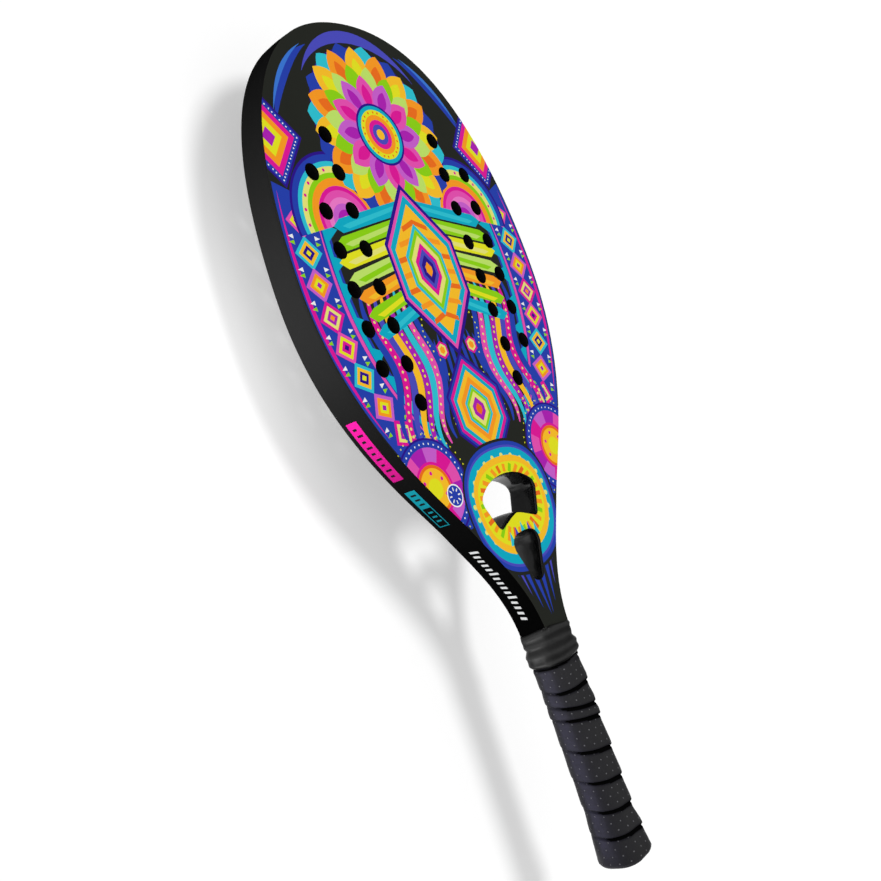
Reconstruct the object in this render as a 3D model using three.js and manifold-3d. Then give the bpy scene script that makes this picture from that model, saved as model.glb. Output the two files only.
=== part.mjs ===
// A beach tennis racket lying flat, in millimetres. X runs across the head, Y from the butt to the tip
// and Z out of the front face. The origin is the middle of the butt's flat end.
import * as THREE from "three";
import { mergeVertices } from "three/addons/utils/BufferGeometryUtils.js";
import Module from "manifold-3d";

const wasm = await Module();
wasm.setup();

// Outline of the moulded body, measured from the butt
const RACKET_LENGTH = 500;
const RACKET_THICKNESS = 19;
const HEAD_HALF_WIDTH = 107;
const WIDEST_AT = 347;
const FLANK_HALF_WIDTH = 44;
const FLANK_AT = 204;
const FLANK_LEAN = THREE.MathUtils.degToRad(33.8);
const NECK_HALF_WIDTH = 11.5;
const SHOULDER_AT = 134;
const TIP_REACH_SHARE = 0.912;
const CROWN_REACH_SHARE = 0.273;
const SIDE_REACH_SHARE = 0.517;
const FLANK_RISE_SHARE = 0.202;
const FLANK_FALL_SHARE = 0.33;
const NECK_REACH_SHARE = 0.4;
const BACK_EDGE_RADIUS = 3.5;

// Laminates and the hollow frame tube
const FACE_THICKNESS = 0.6;
const ADHESIVE = 0.05;
const TUBE_WALL = 1;
const TUBE_WIDTH = 13;
const TUBE_CORNER = 2.5;
const RIM_WIDTH = 5;

// The curve that closes the foam core above the throat
const CORE_HEEL_AT = 240;
const CORE_HEEL_RADIUS = 191;

// Vent holes through both faces and the foam
const HOLE_RADIUS = 4.9;
const HOLE_COLUMN_SHARE = 0.445;
const HOLE_COLUMN_PITCH_SHARE = 0.1925;
const FIRST_HOLE_ROW_AT = 277.7;
const LAST_HOLE_ROW_BELOW_TIP = 70.05;
const INNER_COLUMN_HOLES = 8;
const OUTER_COLUMN_HOLES = 6;

// Large opening in the throat: an arch over two lobes
const OPENING_HALF_WIDTH = 26;
const OPENING_BOTTOM_AT = 198.7;
const OPENING_HEIGHT = 28.4;
const OPENING_ARCH_SHARES = [[0, 1], [0.46, 1], [0.72, 0.87], [0.92, 0.74]];
const OPENING_CORNER_SHARES = [[1.07, 0.62], [0.975, 0.46]];
const OPENING_SIDE_SHARES = [0.81, 0.115];
const OPENING_LOBE_SHARES = [[0.73, -0.06], [0.6, 0.01]];
const OPENING_SILL_SHARES = [[0.45, 0.05], [0.2, 0.16], [0, 0.187]];

// Small opening below it: a teardrop with its point towards the handle
const SLOT_HALF_WIDTH = 12.8;
const SLOT_BOTTOM_AT = 164.3;
const SLOT_HEIGHT = 29;
const SLOT_ARCH_SHARES = [[0, 1], [0.45, 1], [0.8, 0.97], [0.92, 0.87]];
const SLOT_CORNER_SHARES = [[1.03, 0.8], [0.98, 0.68]];
const SLOT_SIDE_SHARES = [0.5, 0.13];
const SLOT_POINT_SHARES = [[0.33, 0], [0, 0]];

// Yoke and bridge: the places across the throat where they part from the frame tube
const YOKE_TOP_AT = 252;
const YOKE_TOP_INSET = 16.6;
const YOKE_FOOT_AT = 218;
const YOKE_FOOT_HALF_WIDTH = 18;
const BRIDGE_TOP_AT = 206;
const BRIDGE_TOP_HALF_WIDTH = 16.5;
const BRIDGE_FOOT_AT = 187.5;
const BRIDGE_FOOT_HALF_WIDTH = 8.9;

// Handle, from the outside in
const GRIP_HALF_WIDTH = 12.5;
const GRIP_HALF_THICKNESS = 12.2;
const GRIP_CORNER = 9;
const OVERGRIP_THICKNESS = 0.8;
const BASE_GRIP_THICKNESS = 1.4;
const PALLET_WALL = 1.2;
const BASE_GRIP_TOP_AT = 126.5;
const OVERGRIP_TOP_AT = 121.5;
const WINDING_TURNS = 7;
const WINDING_SEAM = 0.6;
const WINDING_START_SHARE = 0.47;
const WINDING_FIRST_SHARE = 0.1;
const WINDING_BEVEL = 0.5;
const FINISHING_TAPE_THICKNESS = 0.25;

// Butt cap, which carries the flare of the handle
const FLANGE_THICKNESS = 6.4;
const FLANGE_ROUND = 6;
const CAP_FLOOR = 8;
const CAP_LENGTH = 28;
const FLARE = 2.1;

// Rubber collar rolled over the end of the winding
const COLLAR_BOTTOM_AT = 119;
const COLLAR_LENGTH = 22;
const COLLAR_WALL = 1;
const COLLAR_TOP_WALL = 0.8;
const COLLAR_TOP_CORNER = 2;
const COLLAR_LIP_CORNER = 0.6;
const COLLAR_LIP_ROUND = 0.45;
const COLLAR_WRINKLE = 0.25;
const COLLAR_WRINKLES = 4;
const COLLAR_STEPS = 20;
const COLLAR_NARROWS_SHARES = [0.33, 0.72];
const COLLAR_SQUARES_SHARES = [0.3, 0.72];

// Fits
const CLEARANCE = 0.3;
const OVERRUN = 5;
const ON_AXIS = 0.001;

// How finely curves are stepped
const OUTLINE_STEPS = 13;
const OPENING_STEPS = 4;
const HEEL_STEPS = 96;
const HOLE_SIDES = 14;
const EDGE_STEPS = 3;
const CORNER_STEPS = 4;

const HALF_THICKNESS = RACKET_THICKNESS / 2;
const FACE_AT = HALF_THICKNESS - FACE_THICKNESS;
const FOAM_HALF_THICKNESS = FACE_AT - ADHESIVE;

// Depths of the handle's layers below the outside of the winding
const BASE_GRIP_OUTER_DEPTH = OVERGRIP_THICKNESS + CLEARANCE;
const BASE_GRIP_INNER_DEPTH = BASE_GRIP_OUTER_DEPTH + BASE_GRIP_THICKNESS;
const PALLET_OUTER_DEPTH = BASE_GRIP_INNER_DEPTH + CLEARANCE;
const PALLET_INNER_DEPTH = PALLET_OUTER_DEPTH + PALLET_WALL;
const STEM_DEPTH = PALLET_INNER_DEPTH + CLEARANCE;

// Turns a closed three.js geometry into a solid that can be joined and cut.
function toSolid(geometry) {
  const bare = geometry.clone();
  bare.deleteAttribute("normal");
  bare.deleteAttribute("uv");
  const merged = mergeVertices(bare);
  return new wasm.Manifold(new wasm.Mesh({
    numProp: 3,
    vertProperties: new Float32Array(merged.attributes.position.array),
    triVerts: new Uint32Array(merged.index.array),
  }));
}

// Turns a solid back into a three.js geometry.
function toGeometry(solid) {
  const mesh = solid.getMesh();
  const geometry = new THREE.BufferGeometry();
  geometry.setAttribute("position", new THREE.BufferAttribute(new Float32Array(mesh.vertProperties), 3));
  geometry.setIndex(new THREE.BufferAttribute(new Uint32Array(mesh.triVerts), 1));
  geometry.computeVertexNormals();
  return geometry;
}

// Closes a right half, which runs from the top to the bottom, with its mirror image.
function mirrored(rightHalf) {
  const leftHalf = rightHalf.filter((point) => point.x > ON_AXIS).reverse();
  return [...rightHalf, ...leftHalf.map((point) => new THREE.Vector2(-point.x, point.y))];
}

// Moves a closed loop outward by a distance, or inward when the distance is negative.
function offsetLoop(loop, distance) {
  const side = THREE.ShapeUtils.isClockWise(loop) ? 1 : -1;
  return loop.map((point, index) => {
    const arriving = point.clone().sub(loop.at(index - 1)).normalize();
    const leaving = loop[(index + 1) % loop.length].clone().sub(point).normalize();
    const along = arriving.clone().add(leaving).normalize();
    const stretch = distance / along.dot(arriving);
    return new THREE.Vector2(point.x - along.y * side * stretch, point.y + along.x * side * stretch);
  });
}

function circleLoop(x, y, radius, sides) {
  return new THREE.EllipseCurve(x, y, radius, radius).getPoints(sides).slice(0, sides);
}

// A flat plate between two heights.
function plate(loop, bottom, top) {
  const shape = new THREE.Shape(loop);
  const geometry = new THREE.ExtrudeGeometry(shape, { depth: top - bottom, bevelEnabled: false });
  return toSolid(geometry.translate(0, 0, bottom));
}

// A plate whose top and bottom edges are both rounded.
function roundedPlate(loop, bottom, top, radius) {
  const geometry = new THREE.ExtrudeGeometry(new THREE.Shape(loop), {
    depth: top - bottom - 2 * radius,
    bevelThickness: radius,
    bevelSize: radius,
    bevelOffset: -radius,
    bevelSegments: EDGE_STEPS,
  });
  return toSolid(geometry.translate(0, 0, bottom + radius));
}

// The body's outline, from the tip round to the shoulder under the collar.
function bodyLoop() {
  const crownRise = (RACKET_LENGTH - WIDEST_AT) * CROWN_REACH_SHARE;
  const sideDrop = (WIDEST_AT - FLANK_AT) * SIDE_REACH_SHARE;
  const neckRise = (FLANK_AT - SHOULDER_AT) * NECK_REACH_SHARE;
  const lean = new THREE.Vector2(Math.sin(FLANK_LEAN), Math.cos(FLANK_LEAN));
  const flank = new THREE.Vector2(FLANK_HALF_WIDTH, FLANK_AT);
  const above = flank.clone().addScaledVector(lean, (WIDEST_AT - FLANK_AT) * FLANK_RISE_SHARE);
  const below = flank.clone().addScaledVector(lean, (SHOULDER_AT - FLANK_AT) * FLANK_FALL_SHARE);
  const half = new THREE.Path();
  half.moveTo(0, RACKET_LENGTH);
  half.bezierCurveTo(
    HEAD_HALF_WIDTH * TIP_REACH_SHARE, RACKET_LENGTH,
    HEAD_HALF_WIDTH, WIDEST_AT + crownRise,
    HEAD_HALF_WIDTH, WIDEST_AT,
  );
  half.bezierCurveTo(HEAD_HALF_WIDTH, WIDEST_AT - sideDrop, above.x, above.y, flank.x, flank.y);
  half.bezierCurveTo(
    below.x, below.y,
    NECK_HALF_WIDTH, SHOULDER_AT + neckRise,
    NECK_HALF_WIDTH, SHOULDER_AT,
  );
  return mirrored(half.getPoints(OUTLINE_STEPS));
}

// Scales the shares of an opening's half outline to its size and place.
function shareScaler(halfWidth, bottom, height) {
  return ([across, up]) => [across * halfWidth, bottom + up * height];
}

// The large opening in the throat.
function openingLoop() {
  const at = shareScaler(OPENING_HALF_WIDTH, OPENING_BOTTOM_AT, OPENING_HEIGHT);
  const arch = OPENING_ARCH_SHARES.map(at);
  const half = new THREE.Path();
  half.moveTo(...arch[0]);
  half.bezierCurveTo(...arch[1], ...arch[2], ...arch[3]);
  half.quadraticCurveTo(...OPENING_CORNER_SHARES.flatMap(at));
  half.lineTo(...at(OPENING_SIDE_SHARES));
  half.quadraticCurveTo(...OPENING_LOBE_SHARES.flatMap(at));
  half.bezierCurveTo(...OPENING_SILL_SHARES.flatMap(at));
  return mirrored(half.getPoints(OPENING_STEPS));
}

// The teardrop slot between the legs.
function slotLoop() {
  const at = shareScaler(SLOT_HALF_WIDTH, SLOT_BOTTOM_AT, SLOT_HEIGHT);
  const arch = SLOT_ARCH_SHARES.map(at);
  const half = new THREE.Path();
  half.moveTo(...arch[0]);
  half.bezierCurveTo(...arch[1], ...arch[2], ...arch[3]);
  half.quadraticCurveTo(...SLOT_CORNER_SHARES.flatMap(at));
  half.lineTo(...at(SLOT_SIDE_SHARES));
  half.quadraticCurveTo(...SLOT_POINT_SHARES.flatMap(at));
  return mirrored(half.getPoints(OPENING_STEPS));
}

function wedgeLoop(topHalfWidth, topAt, footHalfWidth, footAt) {
  return mirrored([new THREE.Vector2(topHalfWidth, topAt), new THREE.Vector2(footHalfWidth, footAt)]);
}

const body = bodyLoop();
const opening = openingLoop();
const slot = slotLoop();

// Half the body's width at a height on its right side, below the widest point.
function bodyHalfWidthAt(y) {
  const next = body.findIndex((point) => point.y <= y);
  const above = body[next - 1];
  const below = body[next];
  return THREE.MathUtils.lerp(below.x, above.x, (y - below.y) / (above.y - below.y));
}

const yokeTopHalfWidth = bodyHalfWidthAt(YOKE_TOP_AT) - YOKE_TOP_INSET;
const yokeWedge = wedgeLoop(yokeTopHalfWidth, YOKE_TOP_AT, YOKE_FOOT_HALF_WIDTH, YOKE_FOOT_AT);
const bridgeWedge = wedgeLoop(BRIDGE_TOP_HALF_WIDTH, BRIDGE_TOP_AT, BRIDGE_FOOT_HALF_WIDTH, BRIDGE_FOOT_AT);

// The pocket inside the head's tube, grown outward by a distance, between two heights. The flank is
// carried straight on below, where the heel cuts it off.
function pocket(grow, halfHeight) {
  const rightHalf = body.filter((point) => point.x > -ON_AXIS && point.y >= FLANK_AT);
  const flank = rightHalf.at(-1);
  const below = flank.clone().sub(rightHalf.at(-2)).setLength(TUBE_WIDTH).add(flank);
  const head = mirrored([...rightHalf, below]);
  const heelCentre = CORE_HEEL_AT + CORE_HEEL_RADIUS;
  const disc = circleLoop(0, heelCentre, CORE_HEEL_RADIUS + grow, HEEL_STEPS);
  const inside = plate(offsetLoop(head, grow - TUBE_WIDTH), -halfHeight, halfHeight);
  return inside.intersect(plate(disc, -halfHeight, halfHeight));
}

// Both throat openings, grown outward by a distance, as cutters that run past both faces.
function throatCutters(grow) {
  const reach = HALF_THICKNESS + OVERRUN;
  const large = plate(offsetLoop(opening, grow), -reach, reach);
  return large.add(plate(offsetLoop(slot, grow), -reach, reach));
}

// Drills a solid with the vent holes, in an inner and an outer column on each side.
function drilled(solid) {
  const reach = HALF_THICKNESS + OVERRUN;
  const lastRowAt = RACKET_LENGTH - LAST_HOLE_ROW_BELOW_TIP;
  let pierced = solid;
  for (const side of [-1, 1]) {
    for (let row = 0; row < INNER_COLUMN_HOLES; row += 1) {
      const rowAt = THREE.MathUtils.lerp(FIRST_HOLE_ROW_AT, lastRowAt, row / (INNER_COLUMN_HOLES - 1));
      const columns = row > 0 && row <= OUTER_COLUMN_HOLES ? 2 : 1;
      for (let column = 0; column < columns; column += 1) {
        const share = HOLE_COLUMN_SHARE + column * HOLE_COLUMN_PITCH_SHARE;
        const across = side * HEAD_HALF_WIDTH * share;
        const hole = circleLoop(across, rowAt, HOLE_RADIUS, HOLE_SIDES);
        pierced = pierced.subtract(plate(hole, -reach, reach));
      }
    }
  }
  return pierced;
}

// One of the two laminated faces, with every opening and hole through it.
function face(loop, bottom, top) {
  return drilled(plate(loop, bottom, top).subtract(throatCutters(0)));
}

// How far the handle swells towards the butt, as a cone over the cap.
function swell(y) {
  const share = (CAP_LENGTH - y) / (CAP_LENGTH - FLANGE_THICKNESS);
  return FLARE * THREE.MathUtils.clamp(share, 0, 1);
}

// The handle's rounded section at a height, a depth below the outside of the winding.
function handleSection(y, depth, swollen = swell(y)) {
  const grown = swollen - depth;
  return {
    y,
    halfWidth: GRIP_HALF_WIDTH + grown,
    halfThickness: GRIP_HALF_THICKNESS + grown,
    corner: GRIP_CORNER + grown,
  };
}

// The points of one rounded section, turning from +X over the front face.
function sectionRing({ y, halfWidth, halfThickness, corner }) {
  const ring = [];
  for (let quarter = 0; quarter < 4; quarter += 1) {
    const across = (quarter === 0 || quarter === 3 ? 1 : -1) * (halfWidth - corner);
    const up = (quarter < 2 ? 1 : -1) * (halfThickness - corner);
    for (let step = 0; step <= CORNER_STEPS; step += 1) {
      const angle = (quarter + step / CORNER_STEPS) * Math.PI / 2;
      ring.push(new THREE.Vector3(across + corner * Math.cos(angle), y, up + corner * Math.sin(angle)));
    }
  }
  return ring.flatMap((point, index) => {
    const next = ring[(index + 1) % ring.length];
    return index % (CORNER_STEPS + 1) === CORNER_STEPS ? [point, point.clone().lerp(next, 0.5)] : [point];
  });
}

// Skins rings of equal count with quads, and closes both ends with fans.
function skinRings(rings) {
  const count = rings[0].length;
  const points = rings.flat();
  const indices = [];
  for (let row = 0; row + 1 < rings.length; row += 1) {
    for (let column = 0; column < count; column += 1) {
      const here = row * count + column;
      const beside = row * count + (column + 1) % count;
      indices.push(here, here + count, beside, beside, here + count, beside + count);
    }
  }
  const last = (rings.length - 1) * count;
  for (let column = 1; column + 1 < count; column += 1) {
    indices.push(0, column, column + 1);
    indices.push(last, last + column + 1, last + column);
  }
  const geometry = new THREE.BufferGeometry().setFromPoints(points);
  geometry.setIndex(indices);
  return geometry;
}

// A solid whose rounded section changes along the handle.
function handleLoft(sections) {
  return toSolid(skinRings(sections.map(sectionRing)));
}

// A tube-shaped layer of the handle between two heights and two depths.
function handleSleeve(bottom, top, outerDepth, innerDepth) {
  const heights = bottom < CAP_LENGTH ? [bottom, CAP_LENGTH, top] : [bottom, top];
  const outer = handleLoft(heights.map((y) => handleSection(y, outerDepth)));
  const bored = heights.map((y) => handleSection(y, innerDepth));
  const below = { ...bored[0], y: bottom - OVERRUN };
  const above = { ...bored.at(-1), y: top + OVERRUN };
  return outer.subtract(handleLoft([below, ...bored, above]));
}

// A straight length of the stem's section, at a depth below the outside of the winding.
function stemLength(bottom, top, depth) {
  return handleLoft([handleSection(bottom, depth, 0), handleSection(top, depth, 0)]);
}

// The hollow of the frame tube: round the head, down both legs and out at the stem's ends.
function tubeBore() {
  const halfHeight = FOAM_HALF_THICKNESS - TUBE_WALL;
  const reach = HALF_THICKNESS + OVERRUN;
  const hollow = roundedPlate(offsetLoop(body, -TUBE_WALL), -halfHeight, halfHeight, TUBE_CORNER)
    .subtract(pocket(TUBE_WALL, reach))
    .subtract(throatCutters(TUBE_WALL))
    .subtract(plate(offsetLoop(yokeWedge, TUBE_WALL), -reach, reach))
    .subtract(plate(offsetLoop(bridgeWedge, TUBE_WALL), -reach, reach));
  const stemBottom = CAP_FLOOR + CLEARANCE - OVERRUN;
  const stemTop = SHOULDER_AT + OVERRUN;
  const webHalf = TUBE_WALL + CLEARANCE / 2;
  const web = wedgeLoop(webHalf, SLOT_BOTTOM_AT + OVERRUN, webHalf, stemBottom - OVERRUN);
  return hollow
    .add(stemLength(stemBottom, stemTop, STEM_DEPTH + TUBE_WALL))
    .subtract(plate(web, -reach, reach));
}

// The carbon tube bent round the head, whose legs run side by side into the handle.
function frameTube() {
  const reach = HALF_THICKNESS + OVERRUN;
  const cap = wedgeLoop(HEAD_HALF_WIDTH + OVERRUN, RACKET_LENGTH + OVERRUN, HEAD_HALF_WIDTH + OVERRUN, 0);
  const slitHalf = CLEARANCE / 2;
  const slit = wedgeLoop(slitHalf, SLOT_BOTTOM_AT + OVERRUN, slitHalf, 0);
  const rebate = offsetLoop(body, CLEARANCE - RIM_WIDTH);
  return roundedPlate(body, -HALF_THICKNESS, HALF_THICKNESS + 2 * BACK_EDGE_RADIUS, BACK_EDGE_RADIUS)
    .subtract(plate(cap, FOAM_HALF_THICKNESS, HALF_THICKNESS + 2 * BACK_EDGE_RADIUS + OVERRUN))
    .subtract(plate(rebate, -reach, -FOAM_HALF_THICKNESS))
    .subtract(pocket(0, reach))
    .subtract(throatCutters(0))
    .subtract(plate(yokeWedge, -reach, reach))
    .subtract(plate(bridgeWedge, -reach, reach))
    .add(stemLength(CAP_FLOOR + CLEARANCE, SHOULDER_AT + TUBE_WALL, STEM_DEPTH))
    .subtract(tubeBore())
    .subtract(plate(slit, -reach, reach));
}

// A hollow cross-member of the throat, open at the ends that meet the legs.
function crossMember(wedge) {
  const boreHalf = FOAM_HALF_THICKNESS - TUBE_WALL;
  const bore = plate(offsetLoop(wedge, OVERRUN), -boreHalf, boreHalf)
    .subtract(pocket(TUBE_WALL, boreHalf + OVERRUN))
    .subtract(throatCutters(TUBE_WALL));
  return plate(offsetLoop(wedge, -CLEARANCE), -FOAM_HALF_THICKNESS, FOAM_HALF_THICKNESS)
    .subtract(pocket(0, HALF_THICKNESS))
    .subtract(throatCutters(0))
    .subtract(bore);
}

// The foam that a cross-member is wrapped round.
function crossMemberFoam(wedge) {
  const halfHeight = FOAM_HALF_THICKNESS - TUBE_WALL - ADHESIVE;
  return plate(offsetLoop(wedge, -CLEARANCE), -halfHeight, halfHeight)
    .subtract(pocket(TUBE_WALL + CLEARANCE, HALF_THICKNESS))
    .subtract(throatCutters(TUBE_WALL + CLEARANCE));
}

// One half of the foam shells that round the stem off to the shape of the hand.
function pallet(side) {
  const sleeve = handleSleeve(
    CAP_LENGTH + CLEARANCE, SHOULDER_AT - CLEARANCE, PALLET_OUTER_DEPTH, PALLET_INNER_DEPTH);
  const across = GRIP_HALF_WIDTH + OVERRUN;
  const loop = wedgeLoop(across, SHOULDER_AT + OVERRUN, across, 0);
  const near = side * CLEARANCE / 2;
  const far = side * across;
  return sleeve.intersect(plate(loop, Math.min(near, far), Math.max(near, far)));
}

// The butt cap: a rounded flange with a socket for the stem.
function buttCap() {
  const sections = [];
  for (let step = 0; step <= CORNER_STEPS; step += 1) {
    const angle = step / CORNER_STEPS * Math.PI / 2;
    const y = FLANGE_ROUND * (1 - Math.cos(angle));
    sections.push(handleSection(y, FLANGE_ROUND * (1 - Math.sin(angle))));
  }
  sections.push(handleSection(FLANGE_THICKNESS, 0));
  sections.push(handleSection(FLANGE_THICKNESS, PALLET_OUTER_DEPTH));
  sections.push(handleSection(CAP_LENGTH, PALLET_OUTER_DEPTH));
  return handleLoft(sections).subtract(stemLength(CAP_FLOOR, CAP_LENGTH + OVERRUN, PALLET_INNER_DEPTH));
}

// The rubber collar: round over the winding, squared off where it grips the neck.
function gripCollar() {
  const narrows = COLLAR_NARROWS_SHARES;
  const squares = COLLAR_SQUARES_SHARES;
  const top = COLLAR_BOTTOM_AT + COLLAR_LENGTH;
  const neckHalfWidth = bodyHalfWidthAt(top) + CLEARANCE;
  const neckHalfThickness = HALF_THICKNESS + CLEARANCE;
  const low = handleSection(COLLAR_BOTTOM_AT, -CLEARANCE - COLLAR_WALL);
  const sections = [];
  for (let step = 0; step <= COLLAR_STEPS; step += 1) {
    const share = step / COLLAR_STEPS;
    const taper = THREE.MathUtils.smoothstep(share, ...narrows);
    const lip = step === 0 || step === COLLAR_STEPS ? COLLAR_LIP_ROUND : 0;
    const wave = COLLAR_WRINKLE * Math.sin(2 * Math.PI * COLLAR_WRINKLES * share) - lip;
    sections.push({
      y: COLLAR_BOTTOM_AT + COLLAR_LENGTH * share,
      halfWidth: THREE.MathUtils.lerp(low.halfWidth, neckHalfWidth + COLLAR_TOP_WALL, taper) + wave,
      halfThickness: THREE.MathUtils.lerp(low.halfThickness, neckHalfThickness + COLLAR_TOP_WALL, taper) + wave,
      corner: THREE.MathUtils.lerp(
        low.corner, COLLAR_TOP_CORNER, THREE.MathUtils.smoothstep(share, ...squares)) + wave,
    });
  }
  const neck = { halfWidth: neckHalfWidth, halfThickness: neckHalfThickness, corner: COLLAR_LIP_CORNER };
  const tapeOutside = BASE_GRIP_OUTER_DEPTH - CLEARANCE - FINISHING_TAPE_THICKNESS;
  const bore = handleLoft([
    handleSection(COLLAR_BOTTOM_AT - OVERRUN, -CLEARANCE),
    handleSection(OVERGRIP_TOP_AT + CLEARANCE, -CLEARANCE),
    handleSection(BASE_GRIP_TOP_AT + CLEARANCE, tapeOutside - CLEARANCE),
    { y: SHOULDER_AT - CLEARANCE, ...neck },
    { y: top + OVERRUN, ...neck },
  ]);
  return handleLoft(sections).subtract(bore);
}

// The perforated tape wound over the handle as one strip. Its ends are cut to a taper, so that the
// winding starts level on the flange and ends level under the collar.
function windingStrip() {
  const bottom = FLANGE_THICKNESS + CLEARANCE;
  const pitch = (OVERGRIP_TOP_AT - bottom) / WINDING_TURNS;
  const stepsPerTurn = sectionRing(handleSection(bottom, 0)).length;
  const startStep = Math.round(WINDING_START_SHARE * stepsPerTurn);
  const firstStep = Math.round(WINDING_FIRST_SHARE * stepsPerTurn);
  const lastStep = (WINDING_TURNS + 1) * stepsPerTurn - firstStep;
  const rings = [];
  for (let step = firstStep; step <= lastStep; step += 1) {
    const turns = step / stepsPerTurn;
    const lower = Math.max(bottom, bottom + pitch * (turns - 1));
    const upper = Math.min(OVERGRIP_TOP_AT, bottom + pitch * turns - WINDING_SEAM);
    const at = (y, depth) => sectionRing(handleSection(y, depth))[(step + startStep) % stepsPerTurn];
    const bevel = WINDING_BEVEL;
    rings.push([
      at(lower, OVERGRIP_THICKNESS),
      at(upper, OVERGRIP_THICKNESS),
      at(upper, OVERGRIP_THICKNESS / 2),
      at(upper - bevel, 0),
      at(lower + bevel, 0),
      at(lower, OVERGRIP_THICKNESS / 2),
    ]);
  }
  return { rings, stepsPerTurn };
}

// The least distance between points of a winding that lie at least half a turn apart.
function leastGapToItself({ rings, stepsPerTurn }) {
  let least = Infinity;
  for (let here = 0; here < rings.length; here += 1) {
    for (let there = here + stepsPerTurn / 2; there < rings.length; there += 1) {
      for (const point of rings[here]) {
        for (const other of rings[there]) {
          least = Math.min(least, point.distanceTo(other));
        }
      }
    }
  }
  return least;
}

const winding = windingStrip();
console.log(`winding: least gap to itself ${leastGapToItself(winding).toFixed(2)} mm`);

const racket = new THREE.Group();
racket.name = "beach_tennis_racket";

function addPiece(name, solid, color, roughness) {
  const geometry = solid instanceof THREE.BufferGeometry ? solid : toGeometry(solid);
  const material = new THREE.MeshStandardMaterial({ color, roughness, metalness: 0, name });
  const mesh = new THREE.Mesh(geometry, material);
  mesh.name = name;
  racket.add(mesh);
}

const gripBottom = FLANGE_THICKNESS + CLEARANCE;
const tapeDepth = BASE_GRIP_OUTER_DEPTH - CLEARANCE;
const backPanel = offsetLoop(body, -RIM_WIDTH);

addPiece("front_face", face(body, FACE_AT, HALF_THICKNESS), 0x2440b0, 0.3);
addPiece("back_face", face(backPanel, -HALF_THICKNESS, -FACE_AT), 0x1d1e22, 0.3);
addPiece("frame_tube", frameTube(), 0x161616, 0.35);
addPiece("head_core", drilled(pocket(-CLEARANCE, FOAM_HALF_THICKNESS)), 0x1c1a1a, 0.9);
addPiece("throat_yoke", crossMember(yokeWedge), 0x141414, 0.35);
addPiece("yoke_foam", crossMemberFoam(yokeWedge), 0xd8d4c4, 0.9);
addPiece("throat_bridge", crossMember(bridgeWedge), 0x141414, 0.35);
addPiece("bridge_foam", crossMemberFoam(bridgeWedge), 0xd8d4c4, 0.9);
addPiece("handle_pallet_front", pallet(1), 0xc9bd9a, 0.85);
addPiece("handle_pallet_back", pallet(-1), 0xc9bd9a, 0.85);
addPiece("butt_cap", buttCap(), 0x1b1b1b, 0.55);
addPiece(
  "base_grip",
  handleSleeve(gripBottom, BASE_GRIP_TOP_AT, BASE_GRIP_OUTER_DEPTH, BASE_GRIP_INNER_DEPTH),
  0x202020,
  0.85,
);
addPiece("overgrip", skinRings(winding.rings), 0x2f2f2f, 0.7);
addPiece(
  "finishing_tape",
  handleSleeve(OVERGRIP_TOP_AT + CLEARANCE, BASE_GRIP_TOP_AT, tapeDepth - FINISHING_TAPE_THICKNESS, tapeDepth),
  0x101010,
  0.4,
);
addPiece("grip_collar", gripCollar(), 0x2b2b2b, 0.45);

export default racket;
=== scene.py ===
"""A beach tennis racket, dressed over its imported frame.

Everything is in metres in the frame of the solids: X across the head, Y from the butt to the tip and Z
out of the printed face. The racket's own sizes are in millimetres and turned to metres in its meshes.
"""

import logging
import math
from dataclasses import dataclass, field
from enum import Enum
from functools import cached_property
from typing import Any, Callable, Sequence

import bmesh
import bpy
from bpy.types import Material, Mesh, NodeSocket, Object, World
from mathutils import Matrix, Vector
from mathutils.geometry import delaunay_2d_cdt
from mathutils.noise import noise


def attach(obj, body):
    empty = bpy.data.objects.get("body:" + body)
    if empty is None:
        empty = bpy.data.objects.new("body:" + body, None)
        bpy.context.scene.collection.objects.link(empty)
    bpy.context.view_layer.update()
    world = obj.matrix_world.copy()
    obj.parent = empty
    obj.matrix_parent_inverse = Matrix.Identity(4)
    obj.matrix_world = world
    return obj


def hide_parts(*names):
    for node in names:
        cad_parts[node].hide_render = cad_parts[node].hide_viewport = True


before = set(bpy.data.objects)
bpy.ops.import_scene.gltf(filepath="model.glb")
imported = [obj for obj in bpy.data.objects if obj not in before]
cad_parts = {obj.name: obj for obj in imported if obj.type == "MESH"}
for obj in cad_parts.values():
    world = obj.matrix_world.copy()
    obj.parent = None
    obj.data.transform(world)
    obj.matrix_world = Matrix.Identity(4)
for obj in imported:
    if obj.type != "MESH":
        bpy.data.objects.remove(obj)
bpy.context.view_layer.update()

MM = 0.001
BODY = "root"
FRONT = 9.5
FACE_THICKNESS = 0.6
FULL_TURN = 2 * math.pi
log = logging.getLogger("racket")

Point = tuple[float, float]
Loop = list[Point]
Ring = list[Vector]


def clamp(value: float, low: float = 0.0, high: float = 1.0) -> float:
    """Holds a value between two others."""
    return min(max(value, low), high)


def eased(share: float) -> float:
    """Holds a share between 0 and 1, and eases it in and out."""
    share = clamp(share)
    return share * share * (3 - 2 * share)


def bell(off: float, power: int = 2) -> float:
    """Gives 1 in the middle and less to both sides."""
    return math.exp(-(abs(off) ** power))


def linear(colour: str, tone: float = 1.0) -> tuple[float, ...]:
    """Turns an sRGB hex colour to a linear one.

    Args:
        colour: six hex digits, such as "ff9d1e".
        tone: how many times as light it comes out.

    Returns:
        Linear red, green and blue, with alpha 1.
    """
    parts = [int(colour[at:at + 2], 16) / 255 for at in (0, 2, 4)]
    parts = [p / 12.92 if p <= 0.04045 else ((p + 0.055) / 1.055) ** 2.4 for p in parts]
    return (*(min(p * tone, 1.0) for p in parts), 1.0)


# Curves and loops


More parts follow.
